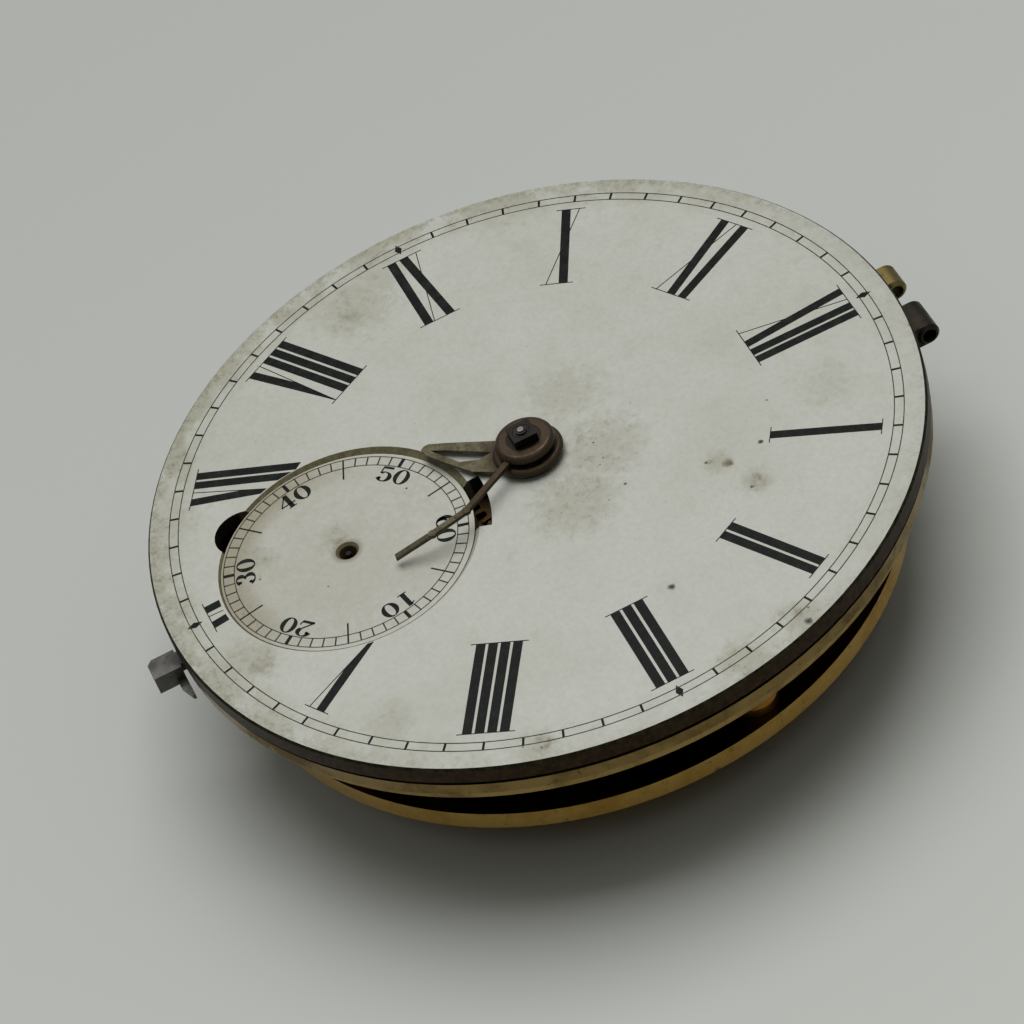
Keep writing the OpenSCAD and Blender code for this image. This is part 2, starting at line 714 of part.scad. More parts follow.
module pillar(i) color(brass) at(pillar_ps[i]) difference() {
  z_low = z_top_back - tenon_h;
  collar = 0.5;
  belly = pillar_h / 2;
  rotate_extrude() polygon([
    [0, z_low], [tenon_d / 2, z_low], [tenon_d / 2, z_top_in], [pillar_end_d / 2, z_top_in],
    [pillar_end_d / 2, z_top_in + collar], [pillar_d / 2, z_top_in + 2 * collar],
    [pillar_d / 2 + 0.2, z_top_in + belly], [pillar_d / 2, z_pillar_in - 2 * collar],
    [pillar_end_d / 2, z_pillar_in - collar], [pillar_end_d / 2, z_pillar_in], [tenon_d / 2, z_pillar_in],
    [tenon_d / 2, z_pillar_front], [0, z_pillar_front]
  ]);
  translate([0, 0, z_top_back - pin_d / 2 - fit_c]) rotate([0, 90, -pillar_clock[i]])
    cylinder(r = pin_d / 2 + fit_c, h = tenon_d * 2, center = true);
}

module pillar_1() pillar(0);
module pillar_2() pillar(1);
module pillar_3() pillar(2);
module pillar_4() pillar(3);

module pillar_pins() color(steel)
  for (i = [0 : 3]) at(pillar_ps[i], z_top_back - pin_d / 2 - fit_c) rotate([0, 90, -pillar_clock[i]])
    cylinder(r = pin_d / 2, h = pillar_pin_l, center = true);

back_pivots = [third_p, fourth_p, escape_p, pallet_p, centre_p];

module top_plate() color(gilt) difference() {
  union() {
    disc(top_plate_r, z_top_back, z_top_in);
    at(balance_p) disc(regulator_bore_r - run_c, z_regulator, z_top_in);
  }
  at(balance_p) disc(staff_hole_r, z_regulator - over, z_top_in + over);
  at(barrel_p) disc(barrel_hole_r, z_top_back - over, z_top_in + over);
  arbor_holes(pillar_ps, tenon_d / 2 + fit_c, z_top_back - over, z_top_in + over);
  arbor_holes(back_pivots, pivot_r + run_c, z_top_back - over, z_top_in + over);
  arbor_holes([fusee_p], winding_sq / sqrt(2) + run_c, z_top_back - over, z_top_in + over);
  screw_hole(potence_p, z_top_back - over, z_top_in + over);
  screw_hole(polar(cock_screw_r, cock_a), z_top_back - over, z_top_in + over);
  bridge_place() for (s = [-1, 1]) screw_hole([s * bridge_screw_x, 0], z_top_back - over, z_top_in + over);
  for (p = back_pivots) at(p, z_top_back - 0.01) cylinder(r1 = 0.7, r2 = pivot_r, h = 0.35);
}

// Barrel bridge across the barrel opening
module bridge_place() at(barrel_p) rotate(135) children();

module barrel_bridge() color(gilt) difference() {
  bridge_place() intersection() {
    translate([-bridge_l / 2, -bridge_w / 2, z_top_back - bridge_t]) cube([bridge_l, bridge_w, bridge_t]);
    disc(bridge_l / 2, z_top_back - bridge_t - over, z_top_back + over);
  }
  at(barrel_p) disc(barrel_core_r * 0.6 + run_c, z_top_back - bridge_t - over, z_top_back + over);
  bridge_place() for (s = [-1, 1]) {
    screw_hole([s * bridge_screw_x, 0], z_top_back - bridge_t - over, z_top_back + over);
    at([s * bridge_screw_x, 0]) disc(screw_head_r + fit_c, z_top_back - bridge_t - over,
      z_top_back - bridge_t + screw_head_t);
  }
}

module back_screws() color(steel) {
  bridge_place() for (s = [-1, 1]) screw([s * bridge_screw_x, 0], z_top_back - bridge_t, 1);
  screw(polar(cock_screw_r, cock_a), cock_screw_sink, 1,
    l = back_h - screw_head_t - cock_screw_sink + top_plate_t * 0.7);
  screw(potence_p, z_top_back - screw_head_t, 1, head_r = 0.75, l = top_plate_t + 1);
}

// Power

module barrel() color(brass) at(barrel_p) difference() {
  disc(barrel_r, z_barrel, z_barrel + barrel_h - barrel_cover_t);
  disc(barrel_r - barrel_wall, z_barrel + barrel_cover_t, z_barrel + barrel_h + over);
  disc(barrel_core_r * 0.6 + run_c, z_barrel - over, z_barrel + barrel_h);
}

module barrel_cover() color(brass) at(barrel_p) ring(barrel_r, barrel_core_r * 0.6 + run_c,
  z_barrel + barrel_h - barrel_cover_t, z_barrel + barrel_h);

module barrel_arbor() color(steel) at(barrel_p) {
  neck_r = barrel_core_r * 0.6;
  core_c = 0.08;
  turned([
    [neck_r, z_top_back - bridge_t, z_barrel + barrel_cover_t + core_c],
    [barrel_core_r, z_barrel + barrel_cover_t + core_c, z_barrel + barrel_h - barrel_cover_t - core_c],
    [neck_r, z_barrel + barrel_h - barrel_cover_t - core_c, z_pillar_front]
  ]);
  translate([-setup_sq / 2, -setup_sq / 2, z_pillar_front - 0.1]) cube([setup_sq, setup_sq, setup_t + 0.2]);
}

module mainspring() color(steel) at(barrel_p) {
  spring_c = 0.2;
  spring_wire = 0.16;
  spiral(barrel_core_r + spring_wire, barrel_r - barrel_wall - spring_wire, 8, 0, spring_wire,
    z_barrel + barrel_cover_t + spring_c, barrel_h - 2 * barrel_cover_t - 2 * spring_c);
}

module setup_ratchet() color(steel) at(barrel_p) difference() {
  translate([0, 0, z_pillar_front + fit_c]) linear_extrude(setup_t) polygon(
    [for (i = [0 : setup_n - 1]) let (a = i * 360 / setup_n)
      each [polar(setup_r, a), polar(setup_r - 0.4, a + 2)]]
  );
  sq = setup_sq + 2 * fit_c;
  translate([-sq / 2, -sq / 2, z_pillar_front - over]) cube([sq, sq, setup_t + 2 * over]);
}

module setup_click() color(steel) difference() {
  toe = barrel_p + polar(setup_r + 0.12, 182);
  along = heading(click_p, toe);
  union() {
    at(click_p) disc(0.9, z_pillar_front, z_pillar_front + click_t);
    at(click_p, z_pillar_front) rotate(along) linear_extrude(click_t)
      polygon([[0, -0.6], [norm(toe - click_p), -0.05], [norm(toe - click_p), 0.15], [0, 0.6]]);
  }
  screw_hole(click_p, z_pillar_front - over, z_pillar_front + click_t + over);
}

// Path of the chain along the fusee's groove
function fusee_path(z0, z1) =
  let (n = ceil(chain_steps * (z1 - z0) / fusee_pitch))
  [for (i = [0 : n]) let (z = z0 + (z1 - z0) * i / n)
    [chain_a + 360 * (z - z_chain) / fusee_pitch, fusee_r(z) + chain_mid, z]];

// Radius of the grooved fusee: a flat spiral step under the chain, with a ridge half a pitch away
function grooved_r(a, z) =
  let (turns = (z - z_chain) / fusee_pitch - (a - chain_a) / 360, off = turns - round(turns))
  fusee_r(z - off * fusee_pitch) + ridge_h * max(0, abs(off) - groove_half) / (0.5 - groove_half);

// Triangles between two rings of points that start at a and b
function strip(a, b, cols) = [for (i = [0 : cols - 1]) let (k = (i + 1) % cols)
  each [[a + i, b + i, b + k], [a + i, b + k, a + k]]];

module fusee() color(brass) at(fusee_p) {
  cols = chain_steps;
  rows = ceil(groove_rows * fusee_h / fusee_pitch);
  bore_r = (arbor_r + 0.3 + fit_c) / cos(180 / cols);
  wall = [for (j = [0 : rows], i = [0 : cols - 1])
    let (a = 360 * i / cols, z = z_fusee_narrow + fusee_h * j / rows, r = grooved_r(a, z))
    [r * cos(a), r * sin(a), z]];
  bore = [for (z = [z_fusee_narrow, z_fusee_wide], i = [0 : cols - 1])
    let (a = 360 * i / cols) [bore_r * cos(a), bore_r * sin(a), z]];
  low = (rows + 1) * cols;
  high = low + cols;
  polyhedron(concat(wall, bore), concat(
    [for (j = [0 : rows - 1]) each strip(j * cols, (j + 1) * cols, cols)],
    strip(rows * cols, high, cols), strip(high, low, cols), strip(low, 0, cols)
  ), convexity = 10);
}

module fusee_arbor() color(steel) at(fusee_p) {
  square_end = 0.4;
  core_r = arbor_r + 0.3;
  turned([
    [core_r, z_top_back - 0.1, z_fusee_narrow - fusee_cap_t],
    [fusee_r_narrow - 0.5, z_fusee_narrow - fusee_cap_t, z_fusee_narrow - fit_c],
    [core_r, z_fusee_narrow - fit_c, z_pillar_in - 0.3],
    [arbor_r, z_pillar_in - 0.3, z_pillar_front]
  ]);
  translate([-winding_sq / 2, -winding_sq / 2, square_end])
    cube([winding_sq, winding_sq, z_top_in - 0.05 - square_end]);
}

module great_wheel() color(brass) at(fusee_p) difference() {
  wheel_teeth(great_n, great_m, z_great, great_t, heading(fusee_p, centre_p));
  disc(arbor_r + 0.3 + run_c, z_great - over, z_great + great_t + over);
}

module maintaining_ratchet() color(steel) at(fusee_p) difference() {
  r = fusee_r_wide + 0.7;
  translate([0, 0, z_great - maintaining_t]) linear_extrude(maintaining_t) polygon(
    [for (i = [0 : maintaining_n - 1])
      each [polar(r, i * 360 / maintaining_n), polar(r - 0.3, i * 360 / maintaining_n + 1.5)]]
  );
  disc(arbor_r + 0.3 + run_c, z_great - maintaining_t - over, z_great + over);
}

module chain_on_fusee() color(steel) at(fusee_p) swept_band(
  fusee_path(z_chain, z_chain + fusee_turns_wound * fusee_pitch),
  band_corners(chain_t, chain_h)
);

module chain_run() color(steel) {
  start = fusee_p + polar(chain_fusee_r, chain_a);
  end = barrel_p + polar(chain_barrel_r, chain_a);
  l = norm(end - start) - 2 * fit_c;
  at((start + end) / 2, z_chain) rotate(heading(start, end)) cube([l, chain_t, chain_h], center = true);
}

module chain_on_barrel() color(steel) at(barrel_p) {
  n = ceil(chain_steps * barrel_turns);
  swept_band(
    [for (i = [0 : n]) let (t = i / n)
      [chain_a - 360 * barrel_turns * (1 - t), chain_barrel_r,
        z_chain - barrel_turns * barrel_chain_pitch * (1 - t)]],
    band_corners(chain_t, chain_h)
  );
}

// Going train

module arbor(z_pinion, pinion_h, n, m, mesh_a, shaft_low, shaft_high, pivot_high) union() {
  turned([
    [pivot_r, z_top_in - pivot_l, shaft_low],
    [arbor_r, shaft_low, shaft_high],
    [pivot_r, shaft_high, pivot_high]
  ]);
  pinion_teeth(n, m, z_pinion, pinion_h, mesh_a);
}

shoulder = 0.08;
z_shaft_low = z_top_in + shoulder;
z_shaft_high = z_pillar_in - shoulder;
z_pivot_high = z_pillar_in + pivot_l;

module centre_wheel() color(brass) train_wheel(centre_n, centre_m, z_centre_wheel, centre_wheel_t,
  heading(centre_p, third_p), 1.6, arbor_r + 0.1 + fit_c);

module centre_arbor() color(steel) union() {
  core_r = arbor_r + 0.1;
  z_end = z_hand_square + hand_square_h;
  turned([
    [pivot_r, z_top_in - pivot_l, z_shaft_low],
    [core_r, z_shaft_low, z_end],
    [core_r * 0.75, z_end, z_end + 0.08],
    [core_r * 0.4, z_end + 0.08, z_end + 0.13]
  ]);
  pinion_teeth(centre_pinion_n, great_m, z_centre_pinion, z_centre_wheel - z_centre_pinion - fit_c,
    heading(centre_p, fusee_p));
}

module third_wheel() color(brass) at(third_p) train_wheel(third_n, third_m, z_third_wheel, wheel_t,
  heading(third_p, fourth_p), 1.3, arbor_r + fit_c);

module third_arbor() color(steel) at(third_p) arbor(z_third_pinion, third_pinion_h, third_pinion_n, centre_m,
  heading(third_p, centre_p), z_shaft_low, z_shaft_high, z_pivot_high);

module fourth_wheel() color(brass) at(fourth_p) train_wheel(fourth_n, fourth_m, z_fourth_wheel, wheel_t,
  heading(fourth_p, escape_p), 1.2, arbor_r + fit_c);

module fourth_arbor() color(steel) at(fourth_p)
  arbor(z_fourth_pinion, fourth_pinion_h, fourth_pinion_n, third_m, heading(fourth_p, third_p),
    z_shaft_low, z_shaft_high, z_seconds - 0.2);

module escape_wheel() color(brass) at(escape_p) difference() {
  translate([0, 0, z_escape_wheel]) linear_extrude(wheel_t) polygon(
    [for (i = [0 : escape_n - 1]) let (a = i * 360 / escape_n) each [
      polar(escape_root_r, a - 9), polar(escape_r, a - 1), polar(escape_r, a + 0.6),
      polar(escape_root_r, a + 3)
    ]]
  );
  crossings(0.9, escape_r - 1.15, z_escape_wheel, wheel_t, 4, 0.4);
  disc(arbor_r + fit_c, z_escape_wheel - over, z_escape_wheel + wheel_t + over);
}

module escape_arbor() color(steel) at(escape_p)
  arbor(z_escape_pinion, escape_pinion_h, escape_pinion_n, fourth_m, heading(escape_p, fourth_p),
    z_shaft_low, z_shaft_high, z_pivot_high);

// Lever escapement

lever_a = heading(pallet_p, balance_p);
fork_l = pallet_balance - 1;
anchor_a = heading(escape_p, pallet_p);
stone_spread = 33;
escape_root_r = escape_r - 0.75;
stone_clear = 0.27;
stone_w = 0.35;
stone_l = 0.5;
banking_x = fork_l - 1.02;
banking_y = 0.66;
banking_r = 0.12;

// Places a stone on the escape wheel's circle, clear of the tooth points over the lever's travel
module stone_place(s) at(escape_p) rotate(anchor_a + s * stone_spread)
  translate([escape_r + stone_clear, 0, 0]) children();

module lever() color(steel) difference() {
  union() {
    at(pallet_p) disc(0.75, z_lever, z_lever + lever_t);
    at(pallet_p, z_lever) rotate(lever_a) linear_extrude(lever_t) polygon([
      [0, -0.4], [fork_l - 0.9, -0.2], [fork_l - 0.6, -0.75], [fork_l, -0.75], [fork_l, -0.22],
      [fork_l - 0.5, -0.22], [fork_l - 0.5, 0.22], [fork_l, 0.22], [fork_l, 0.75], [fork_l - 0.6, 0.75],
      [fork_l - 0.9, 0.2], [0, 0.4]
    ]);
    for (s = [-1, 1]) {
      tip = escape_p + polar(escape_r + stone_clear + stone_l + 0.2, anchor_a + s * stone_spread);
      at(pallet_p, z_lever) rotate(heading(pallet_p, tip)) linear_extrude(lever_t)
        polygon([[0, -0.45], [norm(tip - pallet_p), -0.3], [norm(tip - pallet_p), 0.3], [0, 0.45]]);
    }
  }
  at(escape_p) disc(escape_r + stone_clear + 0.12, z_lever - over, z_lever + lever_t + over);
  at(pallet_p) disc(arbor_r + fit_c, z_lever - over, z_lever + lever_t + over);
  for (s = [-1, 1]) stone_place(s)
    translate([-over, -stone_w / 2 - fit_c, z_lever - over])
      cube([stone_l + over + fit_c, stone_w + 2 * fit_c, lever_t + 2 * over]);
}

module pallet_stones() color(ruby) for (s = [-1, 1]) stone_place(s)
  translate([0, -stone_w / 2, z_lever]) cube([stone_l, stone_w, lever_t]);

module pallet_arbor() color(steel) at(pallet_p) turned([
  [pivot_r, z_top_in - pivot_l, z_shaft_low], [arbor_r, z_shaft_low, z_shaft_high],
  [pivot_r, z_shaft_high, z_pivot_high]
]);

module banking_pins() color(steel) at(pallet_p) rotate(lever_a) for (s = [-1, 1])
  translate([banking_x, s * banking_y, 0]) disc(banking_r, z_top_in, z_lever + lever_t + 0.1);

module balance() color(gilt) at(balance_p) difference() {
  rim_in = balance_r - balance_rim_w;
  disc(balance_r, z_balance, z_balance + balance_rim_h);
  disc(rim_in, z_balance - over, z_arms);
  disc(rim_in, z_arms + arms_t, z_balance + balance_rim_h + over);
  rotate(30) crossings(balance_hub_r, rim_in - balance_ledge, z_arms, arms_t, 3, balance_arm_w);
  disc(staff_r + fit_c, z_arms - over, z_arms + arms_t + over);
}

module balance_staff() color(steel) at(balance_p) {
  z_tip = cock_t * 0.5;
  z_collet = z_arms + arms_t + fit_c;
  turned([
    [staff_pivot_r, z_tip, cock_t + 0.1],
    [staff_r, cock_t + 0.1, z_collet],
    [collet_r, z_collet, z_spring + spring_h + 0.05],
    [staff_r, z_spring + spring_h + 0.05, z_potence - 0.1],
    [staff_pivot_r, z_potence - 0.1, z_potence + 0.3]
  ]);
}

module roller() color(steel) at(balance_p) difference() {
  ring(roller_r, staff_r + fit_c, z_roller, z_roller + roller_t);
  rotate(lever_a + 180) translate([impulse_x, 0, 0])
    disc(impulse_r + fit_c, z_roller - over, z_roller + roller_t + over);
}

module impulse_pin() color(ruby) at(balance_p) rotate(lever_a + 180) translate([impulse_x, 0, 0])
  disc(impulse_r, z_roller, z_lever - impulse_gap);

module hairspring() color(steel) at(balance_p)
  spiral(spring_in_r, spring_r, spring_turns, stud_a, spring_t, z_spring, spring_h);

module hairspring_stud() color(steel) at(balance_p) rotate(stud_a)
  translate([spring_r - 0.3, fit_c, z_spring - 0.1]) cube([0.6, 0.7, z_top_back - z_spring + 0.1]);

module regulator() color(steel) at(balance_p) {
  ring_r = regulator_bore_r + regulator_ring_w;
  difference() {
    union() {
      disc(ring_r, z_regulator, z_regulator + regulator_t);
      rotate(pointer_a) translate([0, 0, z_regulator]) linear_extrude(regulator_t)
        polygon([[0, -0.6], [regulator_len - 1.2, -0.3], [regulator_len - 1.2, -0.8], [regulator_len, 0],
          [regulator_len - 1.2, 0.8], [regulator_len - 1.2, 0.3], [0, 0.6]]);
      rotate(curb_a) translate([0, -0.35, z_regulator]) cube([curb_r + curb_gap + 0.25, 0.7, regulator_t]);
    }
    disc(regulator_bore_r, z_regulator - over, z_regulator + regulator_t + over);
  }
  rotate(curb_a) for (s = [-1, 1]) translate([curb_r + s * curb_gap, 0, 0])
    disc(curb_pin_r, z_spring - 0.05, z_regulator + 0.05);
}

module balance_cock() color(gilt) difference() {
  union() {
    intersection() {
      union() {
        at(balance_p) disc(cock_table_r, 0, cock_t);
        cock_neck();
      }
      disc(top_plate_r, -over, cock_t + over);
    }
    cock_foot();
  }
  at(balance_p) disc(jewel_r + fit_c, -over, cock_t + over);
  screw_hole(polar(cock_screw_r, cock_a), -over, z_top_back + over);
  at(polar(cock_screw_r, cock_a)) disc(screw_head_r + fit_c, -over, screw_head_t + cock_screw_sink);
}

// Neck that widens from the cock's table to its foot
module cock_neck() {
  span = top_plate_r - norm(balance_p) + over;
  half = top_plate_r * sin(cock_foot_a);
  at(balance_p) rotate(cock_a) linear_extrude(cock_t)
    polygon([[0, -cock_table_r * 0.8], [span, -half], [span, half], [0, cock_table_r * 0.8]]);
}

module cock_foot() rotate(cock_a - cock_foot_a) rotate_extrude(angle = 2 * cock_foot_a)
  translate([cock_foot_in, 0]) square([top_plate_r - cock_foot_in, z_top_back]);

module potence() color(brass) difference() {
  union() {
    at(potence_p) disc(1.2, z_top_in, z_potence + potence_t);
    at(balance_p) disc(1, z_potence, z_potence + potence_t);
    at(balance_p, z_potence) rotate(heading(balance_p, potence_p)) translate([0, -0.8, 0])
      cube([norm(potence_p - balance_p), 1.6, potence_t]);
  }
  at(balance_p) disc(jewel_r + fit_c, z_potence - over, z_potence + potence_t + over);
  screw_hole(potence_p, z_top_in - over, z_top_in + 1.2);
}

module balance_jewels() color(ruby) at(balance_p) {
  hole_r = staff_pivot_r + run_c;
  difference() {
    disc(jewel_r, 0.1, cock_t);
    disc(hole_r, cock_t * 0.5 - 0.04, cock_t + over);
  }
  difference() {
    disc(jewel_r, z_potence, z_potence + potence_t);
    disc(hole_r, z_potence - over, z_potence + 0.34);
  }
}

// Motion work and hands

module cannon_pinion() color(steel) difference() {
  union() {
    pinion_teeth(cannon_n, motion_m, z_cannon, cannon_leaf_h, heading(centre_p, minute_p));
    disc(cannon_r, z_cannon, z_hand_square);
    translate([-hand_sq / 2, -hand_sq / 2, z_hand_square - 0.1])
      cube([hand_sq, hand_sq, hand_square_h + 0.1]);
  }
  disc(arbor_r + 0.1 + run_c, z_cannon - over, z_hand_square + hand_square_h + over);
}

module minute_wheel() color(brass) at(minute_p) difference() {
  union() {
    wheel_teeth(minute_n, motion_m, z_minute, minute_t, heading(minute_p, centre_p));
    pinion_teeth(minute_pinion_n, motion_m, z_minute, z_hour + hour_t - z_minute,
      heading(minute_p, centre_p));
  }
  disc(minute_post_r + run_c, z_minute - over, z_hour + hour_t + over);
}

module minute_post() color(steel) at(minute_p) disc(minute_post_r, z_pillar_in + 0.1, z_hour + hour_t - 0.02);

module hour_wheel() color(brass) difference() {
  union() {
    wheel_teeth(hour_n, motion_m, z_hour, hour_t, heading(centre_p, minute_p));
    disc(hour_pipe_r, z_hour, z_hour_hand + hour_boss_h);
  }
  disc(cannon_r + run_c, z_hour - over, z_hour_hand + hour_boss_h + over);
}

// Boss of a hand, with a half-round edge
module boss(r, z0, z1) {
  e = (z1 - z0) / 2;
  rotate_extrude() polygon(concat(
    [[0, z0]],
    [for (i = [0 : boss_steps]) let (a = -90 + 180 * i / boss_steps)
      [r - e + e * cos(a), z0 + e + e * sin(a)]],
    [[0, z1]]
  ));
}

// Broken open-loop hour hand, pointing past VII, its tip bent sideways
module hour_hand() color(copper) rotate(clock(hour_clock)) difference() {
  union() {
    boss(hour_boss_r, z_hour_hand, z_hour_hand + hour_boss_h);
    translate([0, 0, z_hour_hand + hand_lift]) linear_extrude(hand_t)
      polygon(concat([[0, 0]], [for (p = hour_outline) [hour_len + p[0], p[1]]]));
  }
  disc(hour_pipe_r + fit_c, z_hour_hand - over, z_hour_hand + hour_boss_h + over);
  translate([0, 0, z_hour_hand - over]) linear_extrude(hand_t + 2 * over)
    polygon([for (p = hour_opening) [hour_len + p[0], p[1]]]);
}

// Flat strip between two points in space, with a round end at the first
module hand_strip(a, b) {
  l = norm([b[0] - a[0], b[1] - a[1]]);
  translate(a) {
    cylinder(r = minute_knot_r, h = hand_t);
    rotate(heading(a, b)) translate([0, minute_w / 2, 0]) rotate([90, 0, 0]) linear_extrude(minute_w)
      polygon([[0, 0], [l, b[2] - a[2]], [l, b[2] - a[2] + hand_t], [0, hand_t]]);
  }
}

// Broken minute hand: a thin strip with a sideways bend that droops towards its end
module minute_hand() color(copper) difference() {
  z_strip = z_minute_hand + hand_lift;
  bend = polar(minute_bend_r, clock(minute_bend_clock));
  tip = polar(minute_len, clock(minute_tip_clock));
  knee = polar(minute_knee_r, clock(minute_knee_clock));
  union() {
    boss(minute_boss_r, z_minute_hand, z_minute_hand + minute_boss_h);
    hand_strip([0, 0, z_strip], [bend[0], bend[1], z_strip]);
    hand_strip([bend[0], bend[1], z_strip], [knee[0], knee[1], z_strip - minute_knee_drop]);
    hand_strip([knee[0], knee[1], z_strip - minute_knee_drop], [tip[0], tip[1], z_strip - minute_drop]);
  }
  disc(cannon_r + fit_c, z_minute_hand - over, z_minute_hand + minute_boss_h + over);
}

dial();
seconds_dial();
dial_feet();
dial_pins();
brass_edge();
dial_side_screws();
joint_knuckle_left();
joint_knuckle_right();
bolt();
bolt_spring();
pillar_plate();
pillar_1();
pillar_2();
pillar_3();
pillar_4();
pillar_pins();
top_plate();
barrel_bridge();
back_screws();
barrel();
barrel_cover();
barrel_arbor();
mainspring();
setup_ratchet();
setup_click();
fusee();
fusee_arbor();
great_wheel();
maintaining_ratchet();
chain_on_fusee();
chain_run();
chain_on_barrel();
centre_wheel();
centre_arbor();
third_wheel();
third_arbor();
fourth_wheel();
fourth_arbor();
escape_wheel();
escape_arbor();
lever();
pallet_stones();
pallet_arbor();
banking_pins();
balance();
balance_staff();
roller();
impulse_pin();
hairspring();
hairspring_stud();
regulator();
balance_cock();
potence();
balance_jewels();
cannon_pinion();
minute_wheel();
minute_post();
hour_wheel();
hour_hand();
minute_hand();
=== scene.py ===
"""Looks of a key-wound pocket watch movement: materials, dial print, wear, light and camera."""

import json
import math

import bmesh
import bpy
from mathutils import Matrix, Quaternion, Vector


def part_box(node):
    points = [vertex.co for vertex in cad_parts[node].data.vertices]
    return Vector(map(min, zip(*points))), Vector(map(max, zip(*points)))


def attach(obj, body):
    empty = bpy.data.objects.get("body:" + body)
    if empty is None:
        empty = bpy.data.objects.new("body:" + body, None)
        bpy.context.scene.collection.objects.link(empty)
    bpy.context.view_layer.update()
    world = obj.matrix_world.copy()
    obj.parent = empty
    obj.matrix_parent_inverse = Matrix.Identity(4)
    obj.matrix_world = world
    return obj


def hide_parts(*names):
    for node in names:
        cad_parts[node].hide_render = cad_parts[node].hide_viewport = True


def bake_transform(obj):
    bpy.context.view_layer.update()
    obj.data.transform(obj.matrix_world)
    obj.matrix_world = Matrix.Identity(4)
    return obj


MM = 0.001

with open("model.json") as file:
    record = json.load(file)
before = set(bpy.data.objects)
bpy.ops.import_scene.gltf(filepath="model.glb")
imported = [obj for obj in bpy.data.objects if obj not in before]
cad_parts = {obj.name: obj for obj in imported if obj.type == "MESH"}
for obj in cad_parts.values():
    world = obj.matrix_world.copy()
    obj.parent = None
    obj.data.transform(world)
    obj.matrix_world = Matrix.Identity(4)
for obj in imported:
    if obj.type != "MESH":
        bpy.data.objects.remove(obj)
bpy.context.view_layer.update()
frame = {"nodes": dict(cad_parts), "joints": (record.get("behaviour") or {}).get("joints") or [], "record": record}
record = frame["record"]

# Places taken from the frame, in millimetres
dial_low, dial_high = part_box("dial")
DIAL_R = (dial_high.x - dial_low.x) / 2 / MM
DIAL_CROWN = dial_high.z / MM
SECONDS_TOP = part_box("seconds_dial")[1].z / MM
ARBOR_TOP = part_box("centre_arbor")[1].z / MM
TOP_PLATE_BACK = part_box("top_plate")[0].z / MM
joint_pos = {j["name"]: Vector(j["pos_m"]) / MM for j in frame["joints"] if "pos_m" in j}
SECONDS_AT = joint_pos["fourth_turn"]
BALANCE_AT = joint_pos["balance_swing"]
FUSEE_AT = joint_pos["fusee_wind"]
barrel_low, barrel_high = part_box("barrel_arbor")
BARREL_AT = (barrel_low + barrel_high) / 2 / MM

# Shape of the dial: rise of its crown over its edge, seconds opening and notch
DIAL_RISE = 0.3
OPENING_R = 7.3
NOTCH_AT = (-4.77, -15.35)
NOTCH_CUT_R = 1.7

# Print on the dial
PRINT_T = 0.012
PRINT_SINK = 0.01
TRACK_R = (19.75, 20.27)
TRACK_LINE = 0.055
TICK_W = 0.13
DIAMOND = (0.9, 0.42)
NUMERAL_OUT = 19.15
NUMERAL_IN = 13.15
BAR_W = 0.52
HAIR_W = 0.05
V_FOOT_W = 0.06
SERIF_W = 0.05
SERIF_REACH = 0.3
BAR_STEP = 0.67
LETTER_STEP = 1.04
SAME_POINT = 0.002
CUT_STEPS = 16

# Print on the seconds dial
SECONDS_TURN = 20.0
SECONDS_SHIFT = Vector((-0.07, -0.07, 0.0))
SECONDS_TRACK = (6.19, 6.8)
SECONDS_LINE = 0.05
SECONDS_RING_STEPS = 180
SECONDS_TICK_W = 0.08
SECONDS_FIVE_W = 0.09
SECONDS_TEN_W = 0.2
SECONDS_LONG_TICK = 5.35
SECONDS_NUMBER_R = 5.55
SECONDS_NUMBER_H = 1.08
DIGIT_STEP = 0.95
DIGIT_WIDE = 1.25
THICK = 0.2
THIN = 0.055
PEN_POWER = 1.6
CLOSED_GAP = 1e-6

# Regulator scale, from the balance centre, at clock angles
SCALE_MIDDLE = 165.0
SCALE_STEP = 4.4
SCALE_STEPS = 5
SCALE_R = 8.5
SCALE_SHORT = 0.45
SCALE_LONG = 0.75
SCALE_W = 0.09

NUMERALS = ["XII", "I", "II", "III", "IIII", "V", "VI", "VII", "VIII", "IX", "X", "XI"]
# Strokes of a letter from the outer to the inner end: share of the length, offset, width
LETTERS = {
    "I": [[(0.0, 0.0, BAR_W), (1.0, 0.0, BAR_W)]],
    "V": [
        [(0.0, -0.23, BAR_W), (0.5, 0.06, BAR_W), (1.0, 0.12, V_FOOT_W)],
        [(0.0, 0.5, HAIR_W), (1.0, 0.12, HAIR_W)],
    ],
    "X": [
        [(0.0, -0.29, BAR_W), (1.0, 0.29, BAR_W)],
        [(0.0, 0.49, HAIR_W), (1.0, -0.71, HAIR_W)],
    ],
}


def dial_z(x, y):
    """Height of the domed dial's face."""
    return DIAL_CROWN - DIAL_RISE * (x * x + y * y) / DIAL_R**2


def seconds_z(x, y):
    return SECONDS_TOP


def top_plate_back(x, y):
    return TOP_PLATE_BACK


def clock_point(h, r, t=0.0, centre=(0.0, 0.0)):
    """Point at clock angle h and distance r, moved clockwise by t."""
    a = math.radians(h)
    x = centre[0] + r * math.sin(a) + t * math.cos(a)
    y = centre[1] + r * math.cos(a) - t * math.sin(a)
    return x, y


def new_piece(name, bm, body, material):
    mesh = bpy.data.meshes.new(name)
    bm.to_mesh(mesh)
    bm.free()
    obj = bpy.data.objects.new(name, mesh)
    bpy.context.scene.collection.objects.link(obj)
    obj.data.materials.append(material)
    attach(obj, body)


